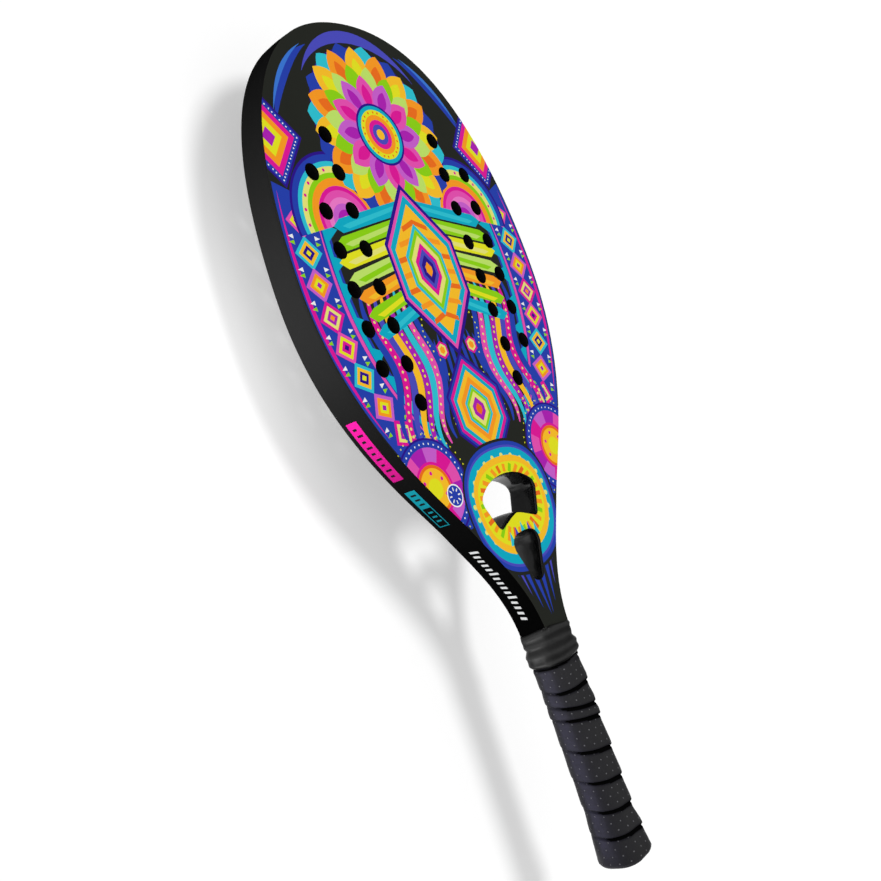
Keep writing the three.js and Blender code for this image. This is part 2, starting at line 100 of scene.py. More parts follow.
def polar(middle: Point, angle: float, wide: float, tall: float | None = None) -> Point:
    """Gives the point at an angle on a circle, or on an oval of another height."""
    return middle[0] + wide * math.cos(angle), middle[1] + (wide if tall is None else tall) * math.sin(angle)


def angles(count: int, shift: float = 0.0, span: float = FULL_TURN) -> list[float]:
    """Gives angles in even steps over a span, all moved on by a share of a step."""
    return [span * (number + shift) / count for number in range(count)]


def circle(middle: Point, radius: float, sides: int = 48) -> Loop:
    """Gives the points of a circle, anticlockwise from its right."""
    return [polar(middle, angle, radius) for angle in angles(sides)]


def bezier(points: Sequence[Point], steps: int) -> Loop:
    """Steps along a curve.

    Args:
        points: its start, its one or two handles, and its end.
        steps: how many steps it is cut into.

    Returns:
        Its points, both ends included.
    """
    start, *handles, end = points
    if len(handles) == 1:
        handles = [tuple(a + (b - a) * 2 / 3 for a, b in zip(tip, handles[0])) for tip in (start, end)]
    line = []
    for step in range(steps + 1):
        t = step / steps
        u = 1 - t
        shares = (u * u * u, 3 * u * u * t, 3 * u * t * t, t * t * t)
        line.append(tuple(
            sum(s * p[axis] for s, p in zip(shares, (start, *handles, end))) for axis in (0, 1)))
    return line


def mirrored(half: Loop) -> Loop:
    """Closes a right half, which runs from top to bottom, with its mirror image."""
    return [*half, *[(-x, y) for x, y in reversed(half) if x > 0.001]]


def lengths_along(line: Loop) -> list[float]:
    """Gives the length from the first point of a line to each of its points."""
    lengths = [0.0]
    for here, there in zip(line, line[1:]):
        lengths.append(lengths[-1] + math.dist(here, there))
    return lengths


def index_at(lengths: Sequence[float], want: float) -> int:
    """Finds the first point at a length or beyond it."""
    return next(at for at, reached in enumerate(lengths) if reached >= want)


def twice_area(loop: Loop) -> float:
    """Gives twice the area of a loop, above zero where it runs anticlockwise."""
    return sum(a[0] * b[1] - b[0] * a[1] for a, b in zip(loop, loop[1:] + loop[:1]))


def moved_out(loop: Loop, distance: float) -> Loop:
    """Moves a closed loop outward.

    Args:
        loop: the loop's points.
        distance: how far it moves, or a negative distance to move it inward.

    Returns:
        The moved points.
    """
    side = 1 if twice_area(loop) > 0 else -1
    moved = []
    for at, here in enumerate(loop):
        arriving = (Vector(here) - Vector(loop[at - 1])).normalized()
        leaving = (Vector(loop[(at + 1) % len(loop)]) - Vector(here)).normalized()
        along = (arriving + leaving).normalized()
        reach = distance / max(along.dot(arriving), 0.5)
        moved.append((here[0] + along.y * side * reach, here[1] - along.x * side * reach))
    return moved


# Meshes


def made(
    mesh: Mesh, work: bmesh.types.BMesh, materials: Sequence[Material], smooth_below: float = 40.0,
) -> Object:
    """Makes an object of worked faces.

    Args:
        mesh: the mesh that takes the faces. The object has its name.
        work: the faces.
        materials: its materials, in the order of the slots.
        smooth_below: edges that turn by less than this many degrees are shaded smooth.

    Returns:
        The object, linked to the scene.
    """
    work.to_mesh(mesh)
    work.free()
    for material in materials:
        mesh.materials.append(material)
    mesh.shade_smooth()
    mesh.set_sharp_from_angle(angle=math.radians(smooth_below))
    piece = bpy.data.objects.new(mesh.name, mesh)
    bpy.context.scene.collection.objects.link(piece)
    return piece


@dataclass
class MeshWork:
    """Collects vertices and faces in millimetres and makes an object of them in metres."""

    points: list[Vector] = field(default_factory=list)
    faces: list[tuple[int, ...]] = field(default_factory=list)
    slots: list[int] = field(default_factory=list)
    places: list[Point] = field(default_factory=list)

    def loft(self, rings: Sequence[Ring], slot: int = 0, caps: bool = False) -> None:
        """Skins closed rings of equal count with quads.

        Args:
            rings: the rings, in order.
            slot: the material slot of the faces.
            caps: whether the first and last rings are closed with one face each. If not, the last
                ring joins the first.
        """
        base, count, faces = len(self.points), len(rings[0]), []
        for row in range(len(rings) - 1 if caps else len(rings)):
            here, there = base + row * count, base + (row + 1) % len(rings) * count
            faces += [(here + k, here + (k + 1) % count, there + (k + 1) % count, there + k)
                      for k in range(count)]
        self.points.extend(point for ring in rings for point in ring)
        if caps:
            faces += [tuple(range(base + count - 1, base - 1, -1)),
                      tuple(range(len(self.points) - count, len(self.points)))]
        self.faces += faces
        self.slots += [slot] * len(faces)

    def finish(self, name: str, materials: Sequence[Material], smooth_below: float = 40.0) -> Object:
        """Makes the object.

        Args:
            name: its name.
            materials: its materials, in the order of the slots.
            smooth_below: edges that turn by less than this many degrees are shaded smooth.

        Returns:
            The object.
        """
        mesh = bpy.data.meshes.new(name)
        mesh.from_pydata([p * MM for p in self.points], [], self.faces)
        mesh.polygons.foreach_set("material_index", self.slots)
        if self.places:
            layer = mesh.uv_layers.new(name="Along")
            for loop in mesh.loops:
                layer.data[loop.index].uv = self.places[loop.vertex_index]
        work = bmesh.new()
        work.from_mesh(mesh)
        bmesh.ops.recalc_face_normals(work, faces=work.faces)
        return made(mesh, work, materials, smooth_below)


def flat_plate(
    name: str,
    loops: Sequence[Loop],
    heights: Point,
    materials: Sequence[Material],
    choose: Callable[[list[int]], int | None] = lambda owners: 0 if owners == [0] else None,
    edge_slot: int = 0,
) -> Object:
    """Makes a plate out of flat loops that lie over one another.

    Args:
        name: the object's name.
        loops: the outline, and then the loops that lie over it.
        heights: its lowest and highest height.
        materials: its materials.
        choose: gives the slot of a part from the loops that it lies in, or nothing where it is cut out.
        edge_slot: the slot of its cut edges and its underside.

    Returns:
        The object.
    """
    points, faces = [], []
    for loop in loops:
        faces.append(list(range(len(points), len(points) + len(loop))))
        points.extend(Vector(p) for p in (loop if twice_area(loop) > 0 else loop[::-1]))
    verts, _, triangles, _, _, owners = delaunay_2d_cdt(points, [], faces, 1, 1e-5, True)
    work = bmesh.new()
    low, high = heights
    corners = [work.verts.new((v.x * MM, v.y * MM, low * MM)) for v in verts]
    for triangle, owner in zip(triangles, owners):
        slot = choose(sorted(owner))
        if slot is not None:
            work.faces.new([corners[k] for k in triangle]).material_index = slot
    bmesh.ops.delete(work, geom=[v for v in work.verts if not v.link_faces], context="VERTS")
    grown = bmesh.ops.extrude_face_region(work, geom=work.faces[:], use_keep_orig=True)
    lifted = [v for v in grown["geom"] if isinstance(v, bmesh.types.BMVert)]
    bmesh.ops.translate(work, verts=lifted, vec=(0, 0, (high - low) * MM))
    bmesh.ops.recalc_face_normals(work, faces=work.faces)
    for face in work.faces:
        if face.normal.z < 0.5:
            face.material_index = edge_slot
    return made(bpy.data.meshes.new(name), work, materials)


def settle(piece: Object, slot: str, *nodes: str) -> None:
    """Ties a piece to the body and hides the solids that it stands for.

    Args:
        piece: the piece.
        slot: the record's material slot; not used.
        nodes: the solids that it stands for, which may be none.
    """
    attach(piece, BODY)
    if nodes:
        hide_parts(*nodes)
    log.info("%s: %d faces", piece.name, len(piece.data.polygons))


# Finishes


@dataclass
class Nodes:
    """The node tree of a material or of the sky, emptied first."""

    owner: Material | World

    def __post_init__(self) -> None:
        """Empties the tree."""
        self.owner.use_nodes = True
        self.owner.node_tree.nodes.clear()

    @cached_property
    def place(self) -> NodeSocket:
        """The coordinates in metres."""
        return self.add("TexCoord", output="Object")

    def add(
        self, kind: str, inputs: dict[str | int, Any] | None = None, output: str | int = 0, **settings: Any,
    ) -> NodeSocket | None:
        """Adds a node.

        Args:
            kind: the node's type, without the word that starts every type.
            inputs: input sockets by name or place, each with a value or with the output that feeds it.
            output: the output that is wanted, by name or place.
            settings: properties of the node itself.

        Returns:
            The output, if the node has one.
        """
        tree = self.owner.node_tree
        node = tree.nodes.new("ShaderNode" + kind)
        for name, value in settings.items():
            setattr(node, name, value)
        for name, value in (inputs or {}).items():
            if isinstance(value, NodeSocket):
                tree.links.new(value, node.inputs[name])
            else:
                node.inputs[name].default_value = value
        return node.outputs[output] if node.outputs else None


@dataclass(frozen=True)
class Finish:
    """A surface of one colour."""

    name: str
    colour: str
    roughness: float = 0.4
    level: float = 0.5
    ior: float = 1.5

    def surface(self, nodes: Nodes) -> dict[str, Any]:
        """Gives the shader's inputs that are more than plain values. Each kind of finish has its own."""
        raise NotImplementedError

    def build(self) -> Material:
        """Makes the material.

        Returns:
            The material.
        """
        material = bpy.data.materials.new(self.name)
        nodes = Nodes(material)
        shader = nodes.add("BsdfPrincipled", {
            "Base Color": linear(self.colour), "Roughness": self.roughness,
            "Specular IOR Level": self.level, "IOR": self.ior, **self.surface(nodes)})
        nodes.add("OutputMaterial", {"Surface": shader})
        return material

    def drift(self, nodes: Nodes, size: float, spread: float) -> NodeSocket:
        """Lets the roughness drift over the surface.

        Args:
            nodes: the material's nodes.
            size: the size of a patch.
            spread: how far the roughness goes to either side.

        Returns:
            The roughness.
        """
        patches = nodes.add(
            "TexNoise", {"Vector": nodes.place, "Scale": 1 / (size * MM), "Detail": 3.0, "Roughness": 0.6})
        return nodes.add("MapRange", {
            "Value": patches, "From Min": 0.3, "From Max": 0.7,
            "To Min": max(self.roughness - spread, 0.03), "To Max": min(self.roughness + spread, 1.0)})


@dataclass(frozen=True)
class Lacquer(Finish):
    """Black lacquer sprayed over moulded carbon: orange peel in the gloss, and a hint of dust."""

    peel: float = 0.006
    # The colour of the painted shade at the neck.
    neck: str = ""

    def surface(self, nodes: Nodes) -> dict[str, Any]:
        """Gives the shader's inputs.

        Args:
            nodes: the material's nodes.

        Returns:
            The inputs by name.
        """
        # Orange peel is 1 to 2 mm across. It breaks the edge of a highlight and nothing else.
        peel = nodes.add("TexNoise", {"Vector": nodes.place, "Scale": 1 / (1.6 * MM), "Detail": 1.0})
        inputs = {"Roughness": self.drift(nodes, 14, 0.05),
                  "Normal": nodes.add("Bump", {"Height": peel, "Distance": self.peel * MM})}
        if self.neck:
            # Painted shade: the colour darkens over the last 150 mm down to the neck, where the wall takes less
            # light.
            height = nodes.add("SeparateXYZ", {0: nodes.place}, "Y")
            up = nodes.add("MapRange", {"Value": height, "From Min": 0.15, "From Max": 0.3})
            inputs["Base Color"] = nodes.add(
                "Mix", {"Factor": up, 6: linear(self.neck), 7: linear(self.colour)}, 2, data_type="RGBA")
        return inputs


@dataclass(frozen=True)
class PrintedInk(Finish):
    """Ink of one colour, printed on the face's film under a satin clear coat."""

    roughness: float = 0.42
    level: float = 0.1

    def surface(self, nodes: Nodes) -> dict[str, Any]:
        """Gives the shader's inputs.

        Args:
            nodes: the material's nodes.

        Returns:
            The inputs by name.
        """
        # The sanded clear coat of a face has a tooth of about 0.4 mm, drawn at 0.7 mm so that it shows.
        tooth = nodes.add("TexNoise", {"Vector": nodes.place, "Scale": 1 / (0.7 * MM), "Detail": 2.0})
        return {"Roughness": self.drift(nodes, 22, 0.06),
                "Normal": nodes.add("Bump", {"Height": tooth, "Distance": 0.008 * MM})}


@dataclass(frozen=True)
class CarbonTwill(Finish):
    """Woven carbon under clear lacquer: tows crossing two over two, each tow that lies over painted lighter, as a
    painted sheen.
    """

    tow: float = 4.5
    light: str = "3b3d40"

    def surface(self, nodes: Nodes) -> dict[str, Any]:
        """Gives the shader's inputs.

        Args:
            nodes: the material's nodes.

        Returns:
            The inputs by name.
        """
        # A 12K tow is 4 to 5 mm wide. The fabric lies at 45 degrees, as it is laid on a racket's face.
        turned = nodes.add("Mapping", {
            "Vector": nodes.place, "Rotation": (0.0, 0.0, math.radians(45)),
            "Scale": (1 / (self.tow * MM),) * 3})
        axes = [nodes.add("SeparateXYZ", {0: turned}, axis) for axis in "XY"]
        warp, weft = (nodes.add("Math", {0: axis}, operation="FLOOR") for axis in axes)
        step = nodes.add("Math", {0: warp, 1: weft}, operation="ADD")
        share = nodes.add("Math", {0: step, 1: 4.0}, operation="FLOORED_MODULO")
        over = nodes.add("Math", {0: share, 1: 1.5}, operation="LESS_THAN")
        rounds, streaks = [], []
        # Filaments are hundredths of a millimetre, so they are drawn 0.3 mm apart.
        for axis, scale in zip(axes, ((1.0, 14.0, 1.0), (14.0, 1.0, 1.0))):
            inside = nodes.add("Math", {0: axis, 1: 1.0}, operation="FLOORED_MODULO")
            turn = nodes.add("Math", {0: inside, 1: math.pi}, operation="MULTIPLY")
            rounds.append(nodes.add("Math", {0: turn}, operation="SINE"))
            stretch = nodes.add("Mapping", {"Vector": turned, "Scale": scale})
            streaks.append(nodes.add("TexNoise", {"Vector": stretch, "Scale": 1.0, "Detail": 2.0}))
        tow = nodes.add("Mix", {"Factor": over, 2: rounds[1], 3: rounds[0]}, data_type="FLOAT")
        streak = nodes.add("Mix", {"Factor": over, 2: streaks[0], 3: streaks[1]}, data_type="FLOAT")
        # Painted sheen: the tow that lies over and its filament streaks mix the colour towards the lighter one.
        lit = nodes.add("Math", {0: over, 1: 0.35}, operation="MULTIPLY")
        shade = nodes.add("Math", {0: streak, 1: 0.55, 2: lit}, operation="MULTIPLY_ADD")
        crossing = nodes.add("Bump", {"Height": tow, "Distance": 0.12 * MM})
        return {
            "Base Color": nodes.add(
                "Mix", {"Factor": shade, 6: linear(self.colour), 7: linear(self.light)}, 2, data_type="RGBA"),
            "Roughness": self.drift(nodes, 18, 0.05),
            "Normal": nodes.add("Bump", {"Height": streak, "Distance": 0.02 * MM, "Normal": crossing}),
            "Coat Weight": 0.6,
            "Coat Roughness": 0.08,
        }


@dataclass(frozen=True)
class Foam(Finish):
    """Expanded foam cut with a drill: closed cells, open where the cutter went through them."""

    cell: float = 0.8

    def surface(self, nodes: Nodes) -> dict[str, Any]:
        """Gives the shader's inputs.

        Args:
            nodes: the material's nodes.

        Returns:
            The inputs by name.
        """
        # Cells of EVA are 0.2 mm or so, drawn coarser so that the cut wall doesn't read as plastic.
        cells = nodes.add("TexVoronoi", {"Vector": nodes.place, "Scale": 1 / (self.cell * MM)})
        return {
            "Base Color": nodes.add("Mix", {
                "Factor": cells, 6: linear(self.colour, 0.7), 7: linear(self.colour, 1.35)}, 2, data_type="RGBA"),
            "Roughness": self.drift(nodes, 6, 0.06),
            "Normal": nodes.add("Bump", {"Height": cells, "Distance": 0.15 * MM}),
        }


@dataclass(frozen=True)
class PerforatedTape(Finish):
    """Polyurethane overgrip with rows of small holes: soft, tacky, with a violet bloom in its sheen."""

    hole: str = "6c6c6e"
    row: float = 4.0
    pitch: float = 5.6
    hole_radius: float = 0.42
    bloom: str = "a89eff"
    # The colour of the painted shade at the foot of each lap and under the collar.
    painted_shade_colour: str = "020202"

    def holes(self, nodes: Nodes) -> NodeSocket:
        """Draws the rows of holes, every second row moved along by half a pitch.

        Args:
            nodes: the material's nodes.

        Returns:
            1 inside a hole and 0 outside it.
        """
        along = nodes.add("UVMap", uv_map="Along")
        u, v = (nodes.add("SeparateXYZ", {0: along}, axis) for axis in "XY")
        rows = nodes.add("Math", {0: v, 1: self.row}, operation="DIVIDE")
        number = nodes.add("Math", {0: rows, 1: 0.5}, operation="ADD")
        whole = nodes.add("Math", {0: number}, operation="FLOOR")
        moved = nodes.add("Math", {0: whole, 1: self.pitch / 2, 2: u}, operation="MULTIPLY_ADD")
        repeated = nodes.add("Math", {0: moved, 1: self.pitch}, operation="FLOORED_MODULO")
        off_u = nodes.add("Math", {0: repeated, 1: self.pitch / 2}, operation="SUBTRACT")
        from_row = nodes.add("Math", {0: rows, 1: whole}, operation="SUBTRACT")
        off_v = nodes.add("Math", {0: from_row, 1: self.row}, operation="MULTIPLY")
        apart = nodes.add("CombineXYZ", {"X": off_u, "Y": off_v})
        far = nodes.add("VectorMath", {0: apart}, "Value", operation="LENGTH")
        return nodes.add("MapRange", {
            "Value": far, "From Min": self.hole_radius * 1.15, "From Max": self.hole_radius * 0.75})

    def surface(self, nodes: Nodes) -> dict[str, Any]:
        """Gives the shader's inputs.

        Args:
            nodes: the material's nodes.

        Returns:
            The inputs by name.
        """
        inside = self.holes(nodes)
        # Felted polyurethane drifts in tone over a few millimetres where hands have pressed it.
        worn = nodes.add("TexNoise", {"Vector": nodes.place, "Scale": 1 / (9 * MM), "Detail": 4.0})
        tone = nodes.add(
            "Mix", {"Factor": worn, 6: linear(self.colour), 7: linear(self.colour, 1.3)}, 2, data_type="RGBA")
        # Painted shade: the colour goes near-black, unevenly along it, at the foot of each lap and just under the
        # collar, where shade falls.
        uneven = nodes.add("TexNoise", {"Vector": nodes.place, "Scale": 1 / (16 * MM), "Detail": 2.0})
        strength = nodes.add("MapRange", {
            "Value": uneven, "From Min": 0.3, "From Max": 0.5, "To Min": 0.8, "To Max": 1.0})
        seam = nodes.add("Attribute", output="Fac", attribute_name="Seam")
        dark = nodes.add("Math", {0: seam, 1: strength}, operation="MULTIPLY")
        for share, colour in ((inside, self.hole), (dark, self.painted_shade_colour)):
            tone = nodes.add("Mix", {"Factor": share, 6: tone, 7: linear(colour)}, 2, data_type="RGBA")
        nap = nodes.add("TexNoise", {"Vector": nodes.place, "Scale": 1 / (0.5 * MM), "Detail": 3.0})
        soft = nodes.add("Bump", {"Height": nap, "Distance": 0.05 * MM})
        pit = nodes.add("Math", {0: 1.0, 1: inside}, operation="SUBTRACT")
        rough = self.drift(nodes, 7, 0.06)
        return {
            "Base Color": tone,
            "Roughness": nodes.add("Math", {0: dark, 1: 0.5, 2: rough}, operation="MULTIPLY_ADD"),
            "Normal": nodes.add("Bump", {"Height": pit, "Distance": 0.2 * MM, "Normal": soft}),
            "Specular Tint": linear(self.bloom),
        }


@dataclass(frozen=True)
class MouldedRubber(Finish):
    """Thin moulded rubber: a low gloss that pools along each fold."""

    grain: float = 1.2
    groove: str = ""

    def surface(self, nodes: Nodes) -> dict[str, Any]:
        """Gives the shader's inputs.

        Args:
            nodes: the material's nodes.

        Returns:
            The inputs by name.
        """
        # Talc and mould texture, about a tenth of a millimetre in the real one and drawn ten times that.
        grain = nodes.add("TexNoise", {"Vector": nodes.place, "Scale": 1 / (self.grain * MM), "Detail": 4.0})
        dust = nodes.add(
            "Mix", {"Factor": grain, 6: linear(self.colour), 7: linear(self.colour, 1.5)}, 2, data_type="RGBA")
        if self.groove:
            # Painted shade: rubber rolled on by hand folds, and its grooves are painted darker where shade falls.
            deep = nodes.add("Attribute", output="Fac", attribute_name="Groove")
            dust = nodes.add("Mix", {"Factor": deep, 6: dust, 7: linear(self.groove)}, 2, data_type="RGBA")
        return {"Base Color": dust, "Roughness": self.drift(nodes, 5, 0.07),
                "Normal": nodes.add("Bump", {"Height": grain, "Distance": 0.03 * MM})}


class Ink(Enum):
    """The inks of the face, by the name on the tin and their sRGB colour."""

    GROUND = "252722"
    SKY = "3a78d6"
    ROYAL = "2440b0"
    INDIGO = "4b4cc0"
    NIGHT = "2c0f8c"
    CYAN = "2cc5d6"
    TEAL = "00aec9"
    PINK = "eb50b4"
    BLUSH = "f27ccc"
    MAGENTA = "e3109a"
    PURPLE = "b01db5"
    ORCHID = "cc60d0"
    ORANGE = "ff9d1e"
    RUST = "f27018"
    AMBER = "ffc325"
    YELLOW = "e9e81c"
    STRAW = "ece97a"
    LIME = "8fd60c"
    PISTACHIO = "c3e86b"
    WHITE = "f5f6f7"


# The racket's shape


@dataclass
class BodyShape:
    """The moulded body seen from the front, measured from the middle of the butt.

    A pull is how far the two handles of a curve reach, as shares of its own width or height.
    """

    length: float = 500.0
    head_half_width: float = 107.0
    widest_at: float = 347.0
    flank: Point = (44.0, 204.0)
    flank_lean: float = math.radians(33.8)
    crown_pull: Point = (0.912, 0.273)
    side_pull: Point = (0.517, 0.202)
    leg_pull: Point = (0.33, 0.4)
    neck_half_width: float = 11.5
    shoulder_at: float = 134.0
    hole_radius: float = 4.9
    hole_shares: Point = (0.445, 0.6375)
    hole_rows: tuple[float, float, int] = (277.7, 429.95, 8)
    steps: int = 90

    def half(self) -> Loop:
        """Gives the right half of the outline.

        Returns:
            Its points from the tip down to the shoulder.
        """
        width, widest, top, low = self.head_half_width, self.widest_at, self.length, self.shoulder_at
        across, up = self.flank
        lean = (math.sin(self.flank_lean), math.cos(self.flank_lean))
        above, below = ((across + lean[0] * reach, up + lean[1] * reach)
                        for reach in ((widest - up) * self.side_pull[1], (low - up) * self.leg_pull[0]))
        turning = (width, widest)
        crown = bezier(((0, top), (width * self.crown_pull[0], top),
                        (width, widest + (top - widest) * self.crown_pull[1]), turning), self.steps)
        side = bezier((turning, (width, widest - (widest - up) * self.side_pull[0]), above, self.flank), self.steps)
        neck = self.neck_half_width
        leg = bezier((self.flank, below, (neck, low + (up - low) * self.leg_pull[1]), (neck, low)), self.steps // 2)
        return [*crown, *side[1:], *leg[1:]]

    def outline(self) -> Loop:
        """Gives the closed outline."""
        return mirrored(self.half())

    def holes(self) -> list[Loop]:
        """Gives the vent holes, row by row.

        Returns:
            A circle for each.
        """
        first, last, rows = self.hole_rows
        middles = [
            (side * share * self.head_half_width, first + (last - first) * row / (rows - 1))
            for row in range(rows) for side in (-1, 1)
            for share in (self.hole_shares if 0 < row < rows - 1 else self.hole_shares[:1])]
        return [circle(middle, self.hole_radius) for middle in middles]

    def core_pocket(self, heel_at: float, heel_radius: float, tube: float) -> Loop:
        """Gives the outline of the foam inside the frame tube.

        Args:
            heel_at: where the foam ends above the throat.
            heel_radius: the radius of that end.
            tube: the width of the frame tube.

        Returns:
            The closed outline.
        """
        middle = heel_at + heel_radius
        kept = [p for p in moved_out(self.outline(), -tube)
                if p[0] >= 0 and math.dist(p, (0, middle)) < heel_radius and p[1] > heel_at]
        span = math.asin(min(kept[-1][0] / heel_radius, 1.0))
        heel = [polar((0, middle), span * (1 - step / 24) - math.pi / 2, heel_radius) for step in range(1, 25)]
        return mirrored([(0.0, kept[0][1]), *[p for p in kept if p[0] > 0.001], *heel])


@dataclass
class WindowShape:
    """One of the two openings of the throat, drawn from shares of its own size."""

    half_width: float
    bottom: float
    height: float
    arch: Sequence[Point]
    corner: Sequence[Point]
    side: Point
    foot: Sequence[Point]
    sill: Sequence[Point] = ()
    steps: int = 16

    def outline(self) -> Loop:
        """Gives the closed outline.

        Returns:
            Its points.
        """
        arch, corner, (side,), foot, sill = (
            [(x * self.half_width, self.bottom + y * self.height) for x, y in shares]
            for shares in (self.arch, self.corner, (self.side,), self.foot, self.sill))
        half = bezier(arch, self.steps) + bezier((arch[-1], *corner), self.steps)[1:]
        half += [tuple(a + (b - a) * step / 6 for a, b in zip(corner[1], side)) for step in range(1, 7)]
        half += bezier((side, *foot), self.steps)[1:]
        if sill:
            half += bezier((foot[1], *sill), self.steps)[1:]
        return mirrored(half)


LARGE_WINDOW = WindowShape(
    half_width=26.0, bottom=198.7, height=28.4,
    arch=((0, 1), (0.46, 1), (0.72, 0.87), (0.92, 0.74)), corner=((1.07, 0.62), (0.975, 0.46)),
    side=(0.81, 0.115), foot=((0.73, -0.06), (0.6, 0.01)), sill=((0.45, 0.05), (0.2, 0.16), (0, 0.187)))
SMALL_WINDOW = WindowShape(
    half_width=12.8, bottom=164.3, height=29.0,
    arch=((0, 1), (0.45, 1), (0.8, 0.97), (0.92, 0.87)), corner=((1.03, 0.8), (0.98, 0.68)),
    side=(0.5, 0.13), foot=((0.33, 0), (0, 0)))


def leaf(width: float, tip: float = 0.0) -> Callable[[float], float]:
    """Gives the width along a line that is pointed at both ends."""
    return lambda share: width * math.sin(math.pi * clamp(share, tip, 1 - tip)) + 0.1


def beside(spot: Point, way: Vector, ahead: float, left: float) -> Point:
    """Gives the place this far ahead of a spot and to its left."""
    return spot[0] + way.x * ahead - way.y * left, spot[1] + way.y * ahead + way.x * left


def lozenge(middle: float, wide: float, tall: float) -> Callable[[float], Loop]:
    """Gives a maker of a lozenge with cut-off sides, by the share of its size."""
    return lambda share: [(wide * share * x, middle + tall * share * y) for x, y in (
        (0, 1), (1, 0.32), (1, -0.32), (0, -1), (-1, -0.32), (-1, 0.32))]


